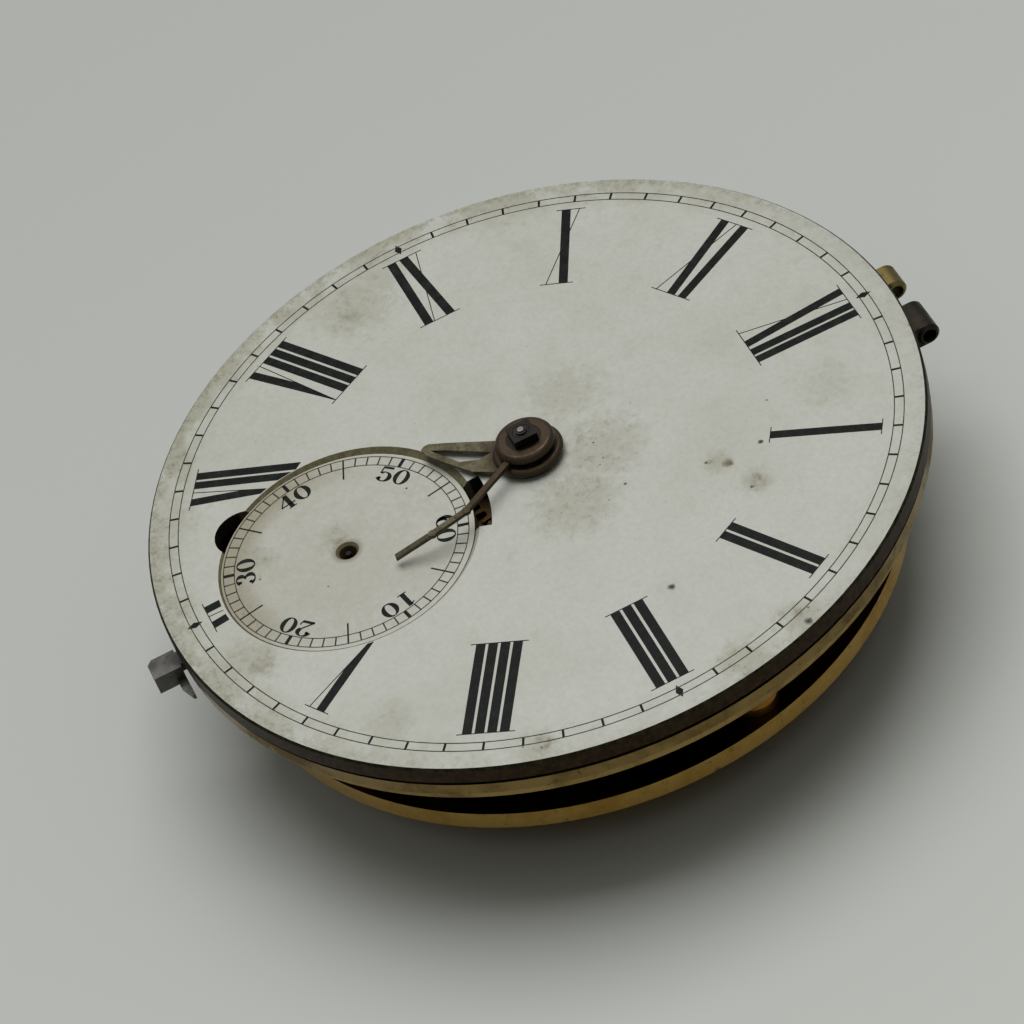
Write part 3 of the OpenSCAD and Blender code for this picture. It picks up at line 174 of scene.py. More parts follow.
def add_print(bm, outline, height, above=PRINT_T, below=PRINT_SINK):
    """Thin closed patch of print with the given outline, laid on a face of the given height."""
    top = [bm.verts.new((x * MM, y * MM, (height(x, y) + above) * MM)) for x, y in outline]
    low = [bm.verts.new((x * MM, y * MM, (height(x, y) - below) * MM)) for x, y in outline]
    n = len(outline)
    bm.faces.new(top)
    bm.faces.new(reversed(low))
    for i in range(n):
        k = (i + 1) % n
        bm.faces.new((top[k], top[i], low[i], low[k]))


def add_ring(bm, centre, r, width, height, steps=240):
    for i in range(steps):
        h0 = 360 * i / steps
        h1 = 360 * (i + 1) / steps
        add_print(bm, [
            clock_point(h1, r - width / 2, 0, centre),
            clock_point(h0, r - width / 2, 0, centre),
            clock_point(h0, r + width / 2, 0, centre),
            clock_point(h1, r + width / 2, 0, centre),
        ], height)


def add_tick(bm, h, r0, r1, width, height, centre=(0.0, 0.0), above=PRINT_T, below=PRINT_SINK):
    add_print(bm, [
        clock_point(h, r0, width / 2, centre),
        clock_point(h, r0, -width / 2, centre),
        clock_point(h, r1, -width / 2, centre),
        clock_point(h, r1, width / 2, centre),
    ], height, above, below)


def on_dial(p):
    """True where the dial has enamel to print on, outside the seconds opening and its notch."""
    out = math.hypot(p[0] - SECONDS_AT.x, p[1] - SECONDS_AT.y) > OPENING_R
    return out and math.hypot(p[0] - NOTCH_AT[0], p[1] - NOTCH_AT[1]) > NOTCH_CUT_R


def between(start, end, share):
    return start[0] + (end[0] - start[0]) * share, start[1] + (end[1] - start[1]) * share


def cut_back(start, end):
    """End of a line from start that stops where the enamel stops."""
    if on_dial(end):
        return end
    good, bad = 0.0, 1.0
    for _ in range(CUT_STEPS):
        mid = (good + bad) / 2
        if on_dial(between(start, end, mid)):
            good = mid
        else:
            bad = mid
    return between(start, end, good)


def along(path, share):
    """Offset and width of a stroke at a share of its length."""
    for (s0, t0, w0), (s1, t1, w1) in zip(path, path[1:]):
        if share <= s1:
            k = (share - s0) / (s1 - s0)
            return t0 + (t1 - t0) * k, w0 + (w1 - w0) * k
    return path[-1][1:]


def add_stroke(bm, h, path, shift, pieces=8):
    """Stroke of a numeral from the outer to the inner end, cut back at the seconds opening."""
    sides = []
    for half in (-0.5, 0.5):
        points = []
        for i in range(pieces + 1):
            t, width = along(path, i / pieces)
            r = NUMERAL_OUT + (NUMERAL_IN - NUMERAL_OUT) * i / pieces
            p = clock_point(h, r, t + shift + half * width)
            if points and not on_dial(p):
                p = cut_back(points[-1], p)
            points.append(p)
        sides.append(points)
    if not on_dial(sides[0][0]) or not on_dial(sides[1][0]):
        return
    for i in range(pieces):
        outline = []
        for p in (sides[0][i], sides[0][i + 1], sides[1][i + 1], sides[1][i]):
            if all(math.dist(p, q) > SAME_POINT for q in outline):
                outline.append(p)
        if len(outline) > 2:
            add_print(bm, outline, dial_z)


def add_numeral(bm, text, h):
    """Numeral with its head outwards: its strokes, and a thin serif along both ends."""
    places = []
    t = 0.0
    for i, letter in enumerate(text):
        if i > 0:
            pair = text[i - 1] + letter
            t += BAR_STEP if pair == "II" else LETTER_STEP
        places.append(t)
    strokes = [(path, place) for letter, place in zip(text, places) for path in LETTERS[letter]]
    starts = [path[0][1] + place for path, place in strokes]
    middle = (min(starts) + max(starts)) / 2
    for path, place in strokes:
        add_stroke(bm, h, path, place - middle)
    for r, k in ((NUMERAL_OUT, 0), (NUMERAL_IN, -1)):
        low = min(path[k][1] - path[k][2] / 2 + place for path, place in strokes) - middle - SERIF_REACH
        high = max(path[k][1] + path[k][2] / 2 + place for path, place in strokes) - middle + SERIF_REACH
        ends = [clock_point(h, r, low), clock_point(h, r, high)]
        if all(on_dial(p) for p in ends):
            add_print(bm, [
                clock_point(h, r - SERIF_W / 2, high),
                clock_point(h, r - SERIF_W / 2, low),
                clock_point(h, r + SERIF_W / 2, low),
                clock_point(h, r + SERIF_W / 2, high),
            ], dial_z)


def arc(x, y, rx, ry, a0, a1, steps=18):
    """Points along an arc of an ellipse, each with the width of a broad pen there."""
    points = []
    for i in range(steps + 1):
        a = math.radians(a0 + (a1 - a0) * i / steps)
        width = THIN + (THICK - THIN) * abs(math.cos(a)) ** PEN_POWER
        points.append((x + rx * math.cos(a), y + ry * math.sin(a), width))
    return points


def line(x0, y0, x1, y1, width):
    return [(x0, y0, width), (x1, y1, width)]


def ball(x, y):
    """Round end of a digit's stroke."""
    return [(x - 0.07, y, 0.09), (x - 0.03, y, 0.15), (x + 0.03, y, 0.15), (x + 0.07, y, 0.09)]


# Strokes of the digits in a box one unit high
DIGITS = {
    "0": [arc(0, 0, 0.25, 0.46, 0, 360, 36)],
    "1": [
        line(0, 0.5, 0, -0.5, THICK),
        line(-0.2, 0.34, 0, 0.47, THIN),
        line(-0.2, -0.47, 0.2, -0.47, THIN),
    ],
    "2": [
        ball(-0.17, 0.24),
        arc(0, 0.22, 0.24, 0.26, 180, -40),
        line(0.17, 0.06, -0.26, -0.44, 0.07),
        line(-0.26, -0.41, 0.26, -0.41, 0.15),
        line(0.26, -0.42, 0.3, -0.18, THIN),
    ],
    "3": [
        ball(-0.15, 0.27),
        arc(0, 0.25, 0.19, 0.23, 170, -85),
        arc(0, -0.22, 0.24, 0.26, 85, -165),
        ball(-0.17, -0.26),
    ],
    "4": [
        line(0.1, 0.5, -0.31, -0.2, THIN),
        line(-0.32, -0.2, 0.33, -0.2, 0.07),
        line(0.1, 0.5, 0.1, -0.5, THICK),
        line(-0.07, -0.47, 0.28, -0.47, THIN),
    ],
    "5": [
        line(-0.19, 0.42, 0.24, 0.44, 0.14),
        line(-0.2, 0.48, -0.22, 0.02, THIN),
        arc(0, -0.17, 0.25, 0.3, 140, -160),
        ball(-0.17, -0.29),
    ],
    "6": [
        arc(0.02, -0.02, 0.27, 0.46, 55, 270),
        arc(0.03, -0.2, 0.23, 0.27, 0, 360, 36),
        ball(0.17, 0.29),
    ],
}


def add_pen(bm, path, place, z):
    """Stroke along [x, y, width] points; place turns its coordinates into plan ones."""
    edges = []
    last = len(path) - 1
    closed = math.dist(path[0][:2], path[last][:2]) < CLOSED_GAP
    for i, (x, y, width) in enumerate(path):
        x0, y0 = path[max(i - 1, 0)][:2]
        x1, y1 = path[min(i + 1, last)][:2]
        if closed and i in (0, last):
            x0, y0 = path[last - 1][:2]
            x1, y1 = path[1][:2]
        length = math.hypot(x1 - x0, y1 - y0)
        nx = (y0 - y1) / length * width / 2
        ny = (x1 - x0) / length * width / 2
        edges.append((place(x + nx, y + ny), place(x - nx, y - ny)))
    for (a, b), (c, d) in zip(edges, edges[1:]):
        add_print(bm, [a, b, d, c], z)


def add_number(bm, text, h, r, height, centre, z):
    """Number in drawn digits, its foot towards the centre."""
    for i, digit in enumerate(text):
        shift = (i - (len(text) - 1) / 2) * DIGIT_STEP

        def place(x, y):
            return clock_point(h, r + y * height, (x * DIGIT_WIDE + shift) * height, centre)

        for path in DIGITS[digit]:
            add_pen(bm, path, place, z)


class Graph:
    """Small helper around one material's node tree; coordinates are the piece's own, in millimetres."""

    def __init__(self, name, metallic=0.0, specular=0.5, coat=0.0):
        self.material = bpy.data.materials.new(name)
        self.material.use_nodes = True
        self.tree = self.material.node_tree
        self.bsdf = self.tree.nodes["Principled BSDF"]
        self.bsdf.inputs["Metallic"].default_value = metallic
        self.bsdf.inputs["Specular IOR Level"].default_value = specular
        self.bsdf.inputs["Coat Weight"].default_value = coat
        self.bsdf.inputs["Coat Roughness"].default_value = COAT_ROUGH
        source = self.tree.nodes.new("ShaderNodeTexCoord").outputs["Object"]
        self.at = self.vector("SCALE", source, scale=1 / MM)

    def put(self, target, value):
        if isinstance(value, bpy.types.NodeSocket):
            self.tree.links.new(value, target)
        else:
            target.default_value = value

    def vector(self, operation, a, b=None, scale=None):
        node = self.tree.nodes.new("ShaderNodeVectorMath")
        node.operation = operation
        self.put(node.inputs[0], a)
        if b is not None:
            self.put(node.inputs[1], b)
        if scale is not None:
            node.inputs["Scale"].default_value = scale
        return node.outputs["Value" if operation in ("LENGTH", "DISTANCE", "DOT_PRODUCT") else "Vector"]

    def math(self, operation, a, b=0.0):
        node = self.tree.nodes.new("ShaderNodeMath")
        node.operation = operation
        self.put(node.inputs[0], a)
        self.put(node.inputs[1], b)
        return node.outputs[0]

    def times(self, a, b):
        return self.math("MULTIPLY", a, b)

    def larger(self, a, b):
        return self.math("MAXIMUM", a, b)

    def noise(self, scale, detail=4.0, rough=0.55, stretch=(1.0, 1.0, 1.0), shift=0.0):
        node = self.tree.nodes.new("ShaderNodeTexNoise")
        moved = self.vector("MULTIPLY_ADD", self.at, stretch)
        moved.node.inputs[2].default_value = (shift, shift, shift)
        self.put(node.inputs["Vector"], moved)
        node.inputs["Scale"].default_value = scale
        node.inputs["Detail"].default_value = detail
        node.inputs["Roughness"].default_value = rough
        return node.outputs["Fac"]

    def span(self, value, low, high, to_low=0.0, to_high=1.0):
        """Smooth step from to_low to to_high as the value goes from low to high."""
        node = self.tree.nodes.new("ShaderNodeMapRange")
        node.interpolation_type = "SMOOTHSTEP"
        self.put(node.inputs["Value"], value)
        node.inputs["From Min"].default_value = low
        node.inputs["From Max"].default_value = high
        node.inputs["To Min"].default_value = to_low
        node.inputs["To Max"].default_value = to_high
        return node.outputs["Result"]

    def mix(self, share, a, b):
        node = self.tree.nodes.new("ShaderNodeMix")
        node.data_type = "RGBA"
        self.put(node.inputs["Factor"], share)
        self.put(node.inputs["A"], a)
        self.put(node.inputs["B"], b)
        return node.outputs["Result"]

    def tint(self, colour, share, strength, tone):
        """Colour drawn towards a tone where the share is high, at most by the strength."""
        return self.mix(self.times(share, strength), colour, tone)

    def part(self, value, axis):
        node = self.tree.nodes.new("ShaderNodeSeparateXYZ")
        self.put(node.inputs[0], value)
        return node.outputs[axis]

    def normal_z(self):
        return self.part(self.tree.nodes.new("ShaderNodeTexCoord").outputs["Normal"], "Z")

    def turn(self, way):
        """Angle of a vector about the vertical axis."""
        return self.math("ARCTAN2", self.part(way, "Y"), self.part(way, "X"))

    def spots(self, places):
        """Largest of several soft round spots, each [x, y, radius, strength], with ragged edges."""
        flat = self.vector("MULTIPLY", self.at, FLAT)
        ragged = self.times(self.math("SUBTRACT", self.noise(1.6, 5.0, 0.65), 0.5), SPOT_RAGGED)
        total = None
        for x, y, r, strength in places:
            away = self.vector("DISTANCE", flat, (x, y, 0.0))
            away = self.math("ADD", away, self.times(ragged, r))
            spot = self.span(away, r, r * SPOT_CORE, 0.0, strength)
            total = spot if total is None else self.larger(total, spot)
        return total

    def finish(self, colour, rough, height=None, strength=0.2, distance=0.02):
        self.put(self.bsdf.inputs["Base Color"], colour)
        self.put(self.bsdf.inputs["Roughness"], rough)
        if height is not None:
            bump = self.tree.nodes.new("ShaderNodeBump")
            bump.inputs["Strength"].default_value = strength
            bump.inputs["Distance"].default_value = distance * MM
            self.put(bump.inputs["Height"], height)
            self.put(self.bsdf.inputs["Normal"], bump.outputs["Normal"])
        return self.material


def rgb(r, g, b):
    """Linear colour of a display colour in 0 to 255."""
    def linear(v):
        v /= 255
        return v / 12.92 if v <= 0.04045 else ((v + 0.055) / 1.055) ** 2.4
    return (linear(r), linear(g), linear(b), 1.0)


# Shared by all materials
COAT_ROUGH = 0.05
FLAT = (1.0, 1.0, 0.0)
SPOT_RAGGED = 1.6
SPOT_CORE = 0.25

# Marks on the enamel, [x, y, radius, strength]: soft haze, brown stains, dark chips and specks
HAZE = [
    (-3.2, 3.4, 3.2, 0.5),
    (1.8, 3.4, 3.4, 0.7),
    (4.6, 0.8, 3.4, 0.7),
    (-17.4, -3.8, 3.4, 0.6),
    (-18.6, -1.6, 2.2, 0.5),
    (5.0, 15.2, 2.4, 0.3),
    (9.2, 9.4, 1.2, 0.7),
    (6.7, 8.3, 1.1, 0.8),
    (19.4, 7.4, 1.9, 1.0),
    (20.2, 3.7, 2.1, 1.0),
    (4.4, -18.7, 2.4, 0.7),
    (19.0, -7.6, 1.6, 0.8),
    (-8.4, -18.9, 3.0, 0.6),
    (13.0, -13.6, 2.0, 0.45),
    (-19.8, 6.0, 3.0, 0.6),
]
STAINS = [
    (7.06, 8.7, 0.42, 0.95),
    (6.4, 7.85, 0.3, 0.5),
    (9.1, 9.5, 0.6, 0.45),
    (9.38, 9.06, 0.22, 0.9),
    (-16.6, -4.3, 0.8, 0.3),
    (19.1, -7.3, 0.7, 0.5),
    (5.0, -17.9, 0.9, 0.35),
    (18.9, 7.3, 0.5, 0.5),
]
CHIPS = [
    (6.72, 10.75, 0.2, 1.0),
    (13.33, 2.55, 0.3, 1.0),
    (3.67, 21.3, 0.4, 1.0),
    (1.24, 3.24, 0.09, 1.0),
    (2.6, 3.24, 0.08, 0.8),
    (2.98, 2.9, 0.1, 0.8),
    (5.11, 3.47, 0.1, 0.9),
    (5.65, 2.28, 0.08, 0.9),
    (19.65, 7.52, 0.34, 1.0),
    (18.8, 7.9, 0.12, 0.8),
    (6.35, 7.7, 0.13, 0.9),
    (4.1, 12.32, 0.08, 0.8),
    (19.2, -7.5, 0.12, 0.9),
    (9.4, 9.0, 0.09, 1.0),
    (-0.26, 6.1, 0.07, 0.7),
    (18.6, -8.3, 0.1, 0.8),
]
# Marks on the seconds dial, from its centre, and the middle of its brown side
SECONDS_HAZE = [(-1.2, -0.1, 1.4, 0.7), (-2.4, -4.6, 1.8, 0.7)]
SECONDS_STAINS = [(-0.9, -0.2, 0.35, 0.5)]
SECONDS_CHIPS = [
    (-2.3, 4.44, 0.12, 1.0),
    (1.8, -1.82, 0.08, 0.8),
    (-0.99, -4.79, 0.12, 0.8),
    (-2.05, 4.2, 0.07, 0.8),
]
SECONDS_BROWN_SIDE = (-3.8, -5.6)

# Tones of the enamel and its cut edges
ENAMEL_WHITE = rgb(192, 193, 186)
ENAMEL_GREY = rgb(184, 185, 175)
PATCH_TONE = rgb(170, 169, 152)
MOTTLE_TONE = rgb(162, 161, 146)
# Grey streaks along the rounded rim: grime and painted shade
RIM_GRIME_AND_SHADE_TONE = rgb(124, 122, 106)
BROWN_TONE = rgb(150, 138, 118)
YELLOW_TONE = rgb(150, 146, 126)
# Painted shade round the seconds hole, where the enamel dips towards it
DIMPLE_SHADE_TONE = rgb(120, 114, 96)
GRIME_TONE = rgb(150, 148, 126)
BLOT_TONE = rgb(122, 119, 96)
DOT_TONE = rgb(80, 76, 60)
STAIN_TONE = rgb(100, 82, 54)
SPECK_TONE = rgb(84, 80, 66)
CHIP_TONE = rgb(44, 41, 33)
WALL_TONES = (rgb(36, 27, 18), rgb(58, 44, 29))
BEVEL_TONES = (rgb(30, 30, 20), rgb(50, 48, 35))
# Far side of the seconds opening: olive dirt with painted shade
OLIVE_DIRT_AND_SHADE_TONES = (rgb(84, 79, 52), rgb(112, 106, 76))
# Near side of the seconds opening: a painted shade line at its foot, then dirty white enamel
OPENING_SHADE_LINE_TONES = (rgb(92, 80, 58), rgb(166, 164, 152))
NOTCH_TONE = rgb(26, 24, 17)

# Where the enamel's face ends, by the tilt of its surface and by radius
FACE_Z = 0.93
BEVEL_Z = 0.78
WALL_R = 20.0
OPENING_WALL_R = 7.45
OPENING_SHADE_LINE_R = 7.1
# Way to the far side of the seconds opening, whose wall gets olive dirt and painted shade
FAR_SIDE = (-0.99, 0.13, 0.0)
# Side of the dial where the rim gets more grime and more painted shade
GRIME_AND_SHADE_SIDE = (-0.8, -0.6, 0.0)

# Tones of the hands, the chain and the jewels
HUB_TONE = rgb(60, 48, 33)
HAND_OLIVE = rgb(92, 88, 67)
HAND_CLOUD = rgb(56, 46, 33)
HAND_SPOT = rgb(34, 29, 21)
LINK_TONES = (rgb(128, 126, 122), rgb(92, 88, 82))
LINK_JOINT = rgb(34, 31, 28)
RUBY_TONES = (rgb(120, 14, 34), rgb(170, 36, 60))
# Painted shade for the faces of the plates that turn towards each other
INNER_SHADE_TONE = rgb(26, 21, 13)
# Painted highlight on the rounded top of the centre arbor
ARBOR_PAINTED_HIGHLIGHT = rgb(150, 146, 142)

# Metals: clean, worn and dark tone, and the range of roughness
METALS = {
    "aged_brass": (rgb(128, 107, 64), rgb(98, 79, 44), rgb(44, 35, 21), (0.3, 0.55)),
    "old_gilding": (rgb(206, 170, 92), rgb(176, 138, 68), rgb(98, 72, 34), (0.28, 0.46)),
    "worn_steel": (rgb(150, 150, 148), rgb(112, 110, 106), rgb(60, 54, 46), (0.22, 0.45)),
    "dark_steel": (rgb(40, 38, 35), rgb(54, 48, 40), rgb(22, 20, 18), (0.35, 0.6)),
    "bare_copper": (rgb(168, 110, 80), rgb(120, 76, 52), rgb(60, 40, 28), (0.35, 0.55)),
    "motion_brass": (rgb(84, 68, 42), rgb(58, 46, 28), rgb(26, 21, 13), (0.35, 0.6)),
    "pillar_brass": (rgb(146, 102, 48), rgb(112, 76, 34), rgb(56, 38, 18), (0.3, 0.5)),
    "square_steel": (rgb(46, 42, 39), rgb(34, 31, 28), rgb(20, 18, 16), (0.28, 0.45)),
    "arbor_steel": (rgb(66, 64, 62), rgb(48, 45, 42), rgb(30, 27, 25), (0.14, 0.28)),
    # Painted shade: the fourth arbor is near black so that the seconds hole reads as shade
    "shaded_fourth_steel": (rgb(44, 41, 38), rgb(34, 31, 28), rgb(20, 18, 16), (0.4, 0.6)),
    "knuckle_brass": (rgb(112, 98, 60), rgb(86, 74, 44), rgb(42, 36, 22), (0.35, 0.55)),
    "plate_brass": (rgb(146, 122, 74), rgb(116, 94, 53), rgb(54, 43, 24), (0.26, 0.45)),
    "plate_gilding": (rgb(196, 160, 86), rgb(166, 130, 64), rgb(92, 68, 32), (0.28, 0.46)),
    "engraved_gilding": (rgb(206, 170, 92), rgb(176, 138, 68), rgb(74, 54, 26), (0.28, 0.46)),
    "bolt_steel": (rgb(96, 94, 91), rgb(68, 66, 63), rgb(34, 32, 30), (0.32, 0.55)),
}
GILDING_GRAIN = 14.0
BRUSHED = (1.0, 8.0, 1.0)
# Depth below the arbor's top where its painted highlight starts, and the height over which it fades in
ARBOR_HIGHLIGHT_DEPTH = 0.05
ARBOR_HIGHLIGHT_FADE = 0.04

# Rosette on the balance cock
ENGRAVED_R = (0.95, 2.6)
ENGRAVED_RING = 0.15
ENGRAVED_FADE = 0.1
ENGRAVED_ARMS = 7.0
ENGRAVED_TWIST = 1.9

# Links of the chain: length of a link, way of the straight run, middle radius on the two drums
CHAIN_LINK = 0.55
CHAIN_WAY = (0.985, 0.171, 0.0)
FUSEE_CHAIN_R = 5.0
BARREL_CHAIN_R = 7.06


def enamel_material(name, haze, stains, chips, brown_side):
    """Old white enamel; the face is stained and speckled, the rim and the cut edges are dark, and painted shade
    lies along the rounded rim, round the seconds hole and in the seconds opening.
    """
    g = Graph(name, specular=0.3)
    flat = g.vector("MULTIPLY", g.at, FLAT)
    radius = g.vector("LENGTH", flat)
    seconds_way = g.vector("SUBTRACT", flat, (SECONDS_AT.x, SECONDS_AT.y, 0.0))
    seconds_r = g.vector("LENGTH", seconds_way)
    clouds = g.noise(0.13, 4.0, 0.6)
    colour = g.mix(g.span(clouds, 0.3, 0.72), ENAMEL_WHITE, ENAMEL_GREY)
    patches = g.span(g.noise(0.5, 6.0, 0.7, shift=7.0), 0.5, 0.8)
    colour = g.tint(colour, patches, 0.45, PATCH_TONE)
    mottle = g.span(g.noise(3.2, 6.0, 0.7, shift=51.0), 0.38, 0.64)
    colour = g.tint(colour, mottle, 0.22, MOTTLE_TONE)
    fine = g.noise(2.4, 7.0, 0.74, shift=3.0)
    dusty = g.noise(0.45, 5.0, 0.65, shift=17.0)
    grime = g.spots(haze)
    if brown_side is None:
        grime_and_shade_side = g.span(g.vector("DOT_PRODUCT", flat, GRIME_AND_SHADE_SIDE), -14.0, 16.0, 0.25, 1.0)
        near_rim = g.times(g.span(radius, DIAL_R - 2.8, DIAL_R - 0.8), g.span(dusty, 0.36, 0.56))
        grime = g.larger(grime, g.times(near_rim, grime_and_shade_side))
        # Grey streaks along the rounded rim: grime, and painted shade where the rim rolls over, heavier on one
        # side
        rim_grime_and_shade = g.times(g.span(radius, DIAL_R - 0.9, DIAL_R - 0.2), g.span(fine, 0.4, 0.6))
        colour = g.tint(colour, g.times(rim_grime_and_shade, grime_and_shade_side), 0.6, RIM_GRIME_AND_SHADE_TONE)
    else:
        side = g.span(g.vector("DISTANCE", flat, brown_side), 9.5, 4.0)
        brown = g.times(side, g.span(seconds_r, 4.8, 6.5))
        colour = g.tint(colour, brown, 0.8, BROWN_TONE)
        grime = g.larger(grime, g.times(brown, 0.6))
        colour = g.mix(g.span(fine, 0.3, 0.7, 0.08, 0.3), colour, YELLOW_TONE)
        # Painted shade: a darker ring round the seconds hole
        colour = g.tint(colour, g.span(seconds_r, 1.05, 0.6), 0.75, DIMPLE_SHADE_TONE)
    colour = g.tint(colour, grime, 0.6, GRIME_TONE)
    colour = g.tint(colour, g.times(grime, g.span(fine, 0.5, 0.66)), 0.6, BLOT_TONE)
    dots = g.times(grime, g.span(g.noise(3.6, 5.0, 0.65, shift=41.0), 0.63, 0.7))
    colour = g.tint(colour, dots, 0.6, DOT_TONE)
    colour = g.mix(g.times(g.spots(stains), g.span(fine, 0.3, 0.6)), colour, STAIN_TONE)
    specks = g.span(g.noise(5.5, 3.0, 0.5, shift=21.0), 0.715, 0.755)
    few = g.span(g.noise(0.7, 3.0, 0.5, shift=31.0), 0.5, 0.64)
    colour = g.tint(colour, g.times(specks, few), 0.7, SPECK_TONE)
    bare = g.spots(chips)
    colour = g.mix(bare, colour, CHIP_TONE)
    rough = g.span(g.noise(1.2, 5.0, 0.6), 0.3, 0.7, 0.25, 0.45)
    height = g.math("SUBTRACT", g.noise(1.1, 3.0, 0.5), bare)
    # The rim is nearly black; the seconds opening is olive with dirt and painted shade on one side, and dirty
    # white on the other above a painted shade line at its foot
    tilt = g.normal_z()
    off_face = g.span(tilt, FACE_Z, BEVEL_Z)
    wall = g.mix(g.span(fine, 0.35, 0.65), *WALL_TONES)
    bevel = g.mix(g.span(fine, 0.4, 0.6), *BEVEL_TONES)
    outer = g.mix(g.span(tilt, 0.3, 0.6), wall, bevel)
    # Olive dirt and painted shade on the far wall of the seconds opening, which turns away from the lamp
    olive_dirt_and_shade = g.mix(g.span(fine, 0.35, 0.65), *OLIVE_DIRT_AND_SHADE_TONES)
    far_dirt_and_shade = g.span(g.vector("DOT_PRODUCT", seconds_way, FAR_SIDE), -2.5, 2.5)
    # Painted shade: a dark line at the foot of the opening's near side, where the seconds dial meets the dial
    near = g.mix(g.span(seconds_r, OPENING_SHADE_LINE_R, OPENING_SHADE_LINE_R + 0.08), *OPENING_SHADE_LINE_TONES)
    opening = g.mix(far_dirt_and_shade, near, olive_dirt_and_shade)
    inner = g.mix(g.span(seconds_r, OPENING_WALL_R, OPENING_WALL_R + 0.1), opening, NOTCH_TONE)
    at_rim = g.span(radius, WALL_R - 0.1, WALL_R + 0.1)
    colour = g.mix(off_face, colour, g.mix(at_rim, inner, outer))
    g.put(g.bsdf.inputs["Metallic"], g.times(off_face, at_rim))
    return g.finish(colour, g.larger(rough, g.times(off_face, 0.5)), height, 0.25, 0.02)


def hand_material(name, olive_from, olive_to):
    """Patinated hands, red-brown at the hub and turning olive between the two radii."""
    g = Graph(name, metallic=0.8)
    radius = g.vector("LENGTH", g.vector("MULTIPLY", g.at, FLAT))
    colour = g.mix(g.span(radius, olive_from, olive_to), HUB_TONE, HAND_OLIVE)
    clouds = g.span(g.noise(1.3, 6.0, 0.7), 0.36, 0.66)
    colour = g.tint(colour, clouds, 0.7, HAND_CLOUD)
    spots = g.span(g.noise(4.0, 5.0, 0.7, shift=9.0), 0.52, 0.68)
    colour = g.tint(colour, spots, 0.65, HAND_SPOT)
    fine = g.noise(9.0, 4.0, 0.6)
    rough = g.span(g.math("ADD", clouds, fine), 0.3, 1.4, 0.3, 0.55)
    return g.finish(colour, rough, fine, 0.25, 0.012)


def engraved_lines(g, centre):
    """Share of engraved lines: crossing spirals inside a ring around a centre, on the back face only."""
    r_in, r_out = ENGRAVED_R
    flat = g.vector("MULTIPLY", g.vector("SUBTRACT", g.at, centre), FLAT)
    r = g.vector("LENGTH", flat)
    turn = g.turn(flat)
    off_ring = g.math("ABSOLUTE", g.math("SUBTRACT", r, r_out + ENGRAVED_RING))
    lines = g.span(off_ring, 0.09, 0.04)
    inside = g.times(g.span(r, r_in, r_in + ENGRAVED_FADE), g.span(r, r_out, r_out - ENGRAVED_FADE))
    for way in (1.0, -1.0):
        phase = g.math("ADD", g.times(turn, ENGRAVED_ARMS), g.times(r, ENGRAVED_TWIST * way))
        near = g.span(g.math("ABSOLUTE", g.math("SINE", phase)), 0.3, 0.1)
        lines = g.larger(lines, g.times(near, inside))
    return g.times(lines, g.span(g.normal_z(), -0.5, -0.8))


def chain_material(name, centre=None, radius=0.0):
    """Steel links: dark joints across the chain, round a drum or along the straight run."""
    g = Graph(name, metallic=1.0)
    if centre is None:
        along_chain = g.vector("DOT_PRODUCT", g.at, CHAIN_WAY)
    else:
        along_chain = g.times(g.turn(g.vector("SUBTRACT", g.at, centre)), radius)
    wave = g.math("SINE", g.times(along_chain, 2 * math.pi / CHAIN_LINK))
    fine = g.noise(6.0, 4.0, 0.6)
    colour = g.mix(g.span(fine, 0.35, 0.65), *LINK_TONES)
    colour = g.mix(g.span(wave, 0.45, 0.8, 0.0, 0.85), colour, LINK_JOINT)
    return g.finish(colour, g.span(fine, 0.3, 0.7, 0.28, 0.48), wave, 0.4, 0.03)


def metal_material(name, grain=(1.0, 1.0, 1.0), grain_scale=6.0, shaded_inner_side=0.0, engraved_at=None,
                   painted_highlight_above=None):
    """Old metal: clean colour clouded by a worn tone, with dark spots and a fine grain; it can also carry painted
    shade on its inner faces and a painted highlight on its top.
    """
    clean, worn, dark, (smooth, dull) = METALS[name]
    g = Graph(name, metallic=1.0)
    clouds = g.span(g.noise(0.35, 5.0, 0.65), 0.4, 0.68)
    colour = g.mix(clouds, clean, worn)
    spots = g.span(g.noise(1.7, 6.0, 0.7, shift=13.0), 0.56, 0.74)
    colour = g.tint(colour, spots, 0.8, dark)
    if shaded_inner_side:
        # Painted shade: faces turned towards the other plate are darkened nearly to black
        inner = g.span(g.times(g.normal_z(), shaded_inner_side), 0.5, 0.8)
        colour = g.tint(colour, inner, 0.9, INNER_SHADE_TONE)
    fine = g.noise(grain_scale, 4.0, 0.6, stretch=grain, shift=2.0)
    height = fine
    if painted_highlight_above is not None:
        # Painted highlight: the part is lightened above the given height
        painted_highlight = g.span(g.part(g.at, "Z"), painted_highlight_above, painted_highlight_above + ARBOR_HIGHLIGHT_FADE)
        colour = g.mix(painted_highlight, colour, ARBOR_PAINTED_HIGHLIGHT)
    if engraved_at is not None:
        cut = engraved_lines(g, engraved_at)
        colour = g.tint(colour, cut, 0.8, dark)
        height = g.math("SUBTRACT", fine, g.times(cut, 2.0))
    wear = g.math("ADD", g.times(clouds, 0.5), g.times(fine, 0.5))
    return g.finish(colour, g.span(wear, 0.2, 0.75, smooth, dull), height, 0.18, 0.012)


def ink_material(name, dark, worn):
    g = Graph(name, specular=0.08)
    wear = g.span(g.noise(2.2, 6.0, 0.7), 0.42, 0.74)
    return g.finish(g.mix(wear, dark, worn), g.span(wear, 0.0, 1.0, 0.4, 0.6))


def ruby_material():
    g = Graph("ruby", coat=0.5)
    colour = g.mix(g.noise(3.0), *RUBY_TONES)
    return g.finish(colour, g.span(g.noise(5.0), 0.3, 0.7, 0.08, 0.2))


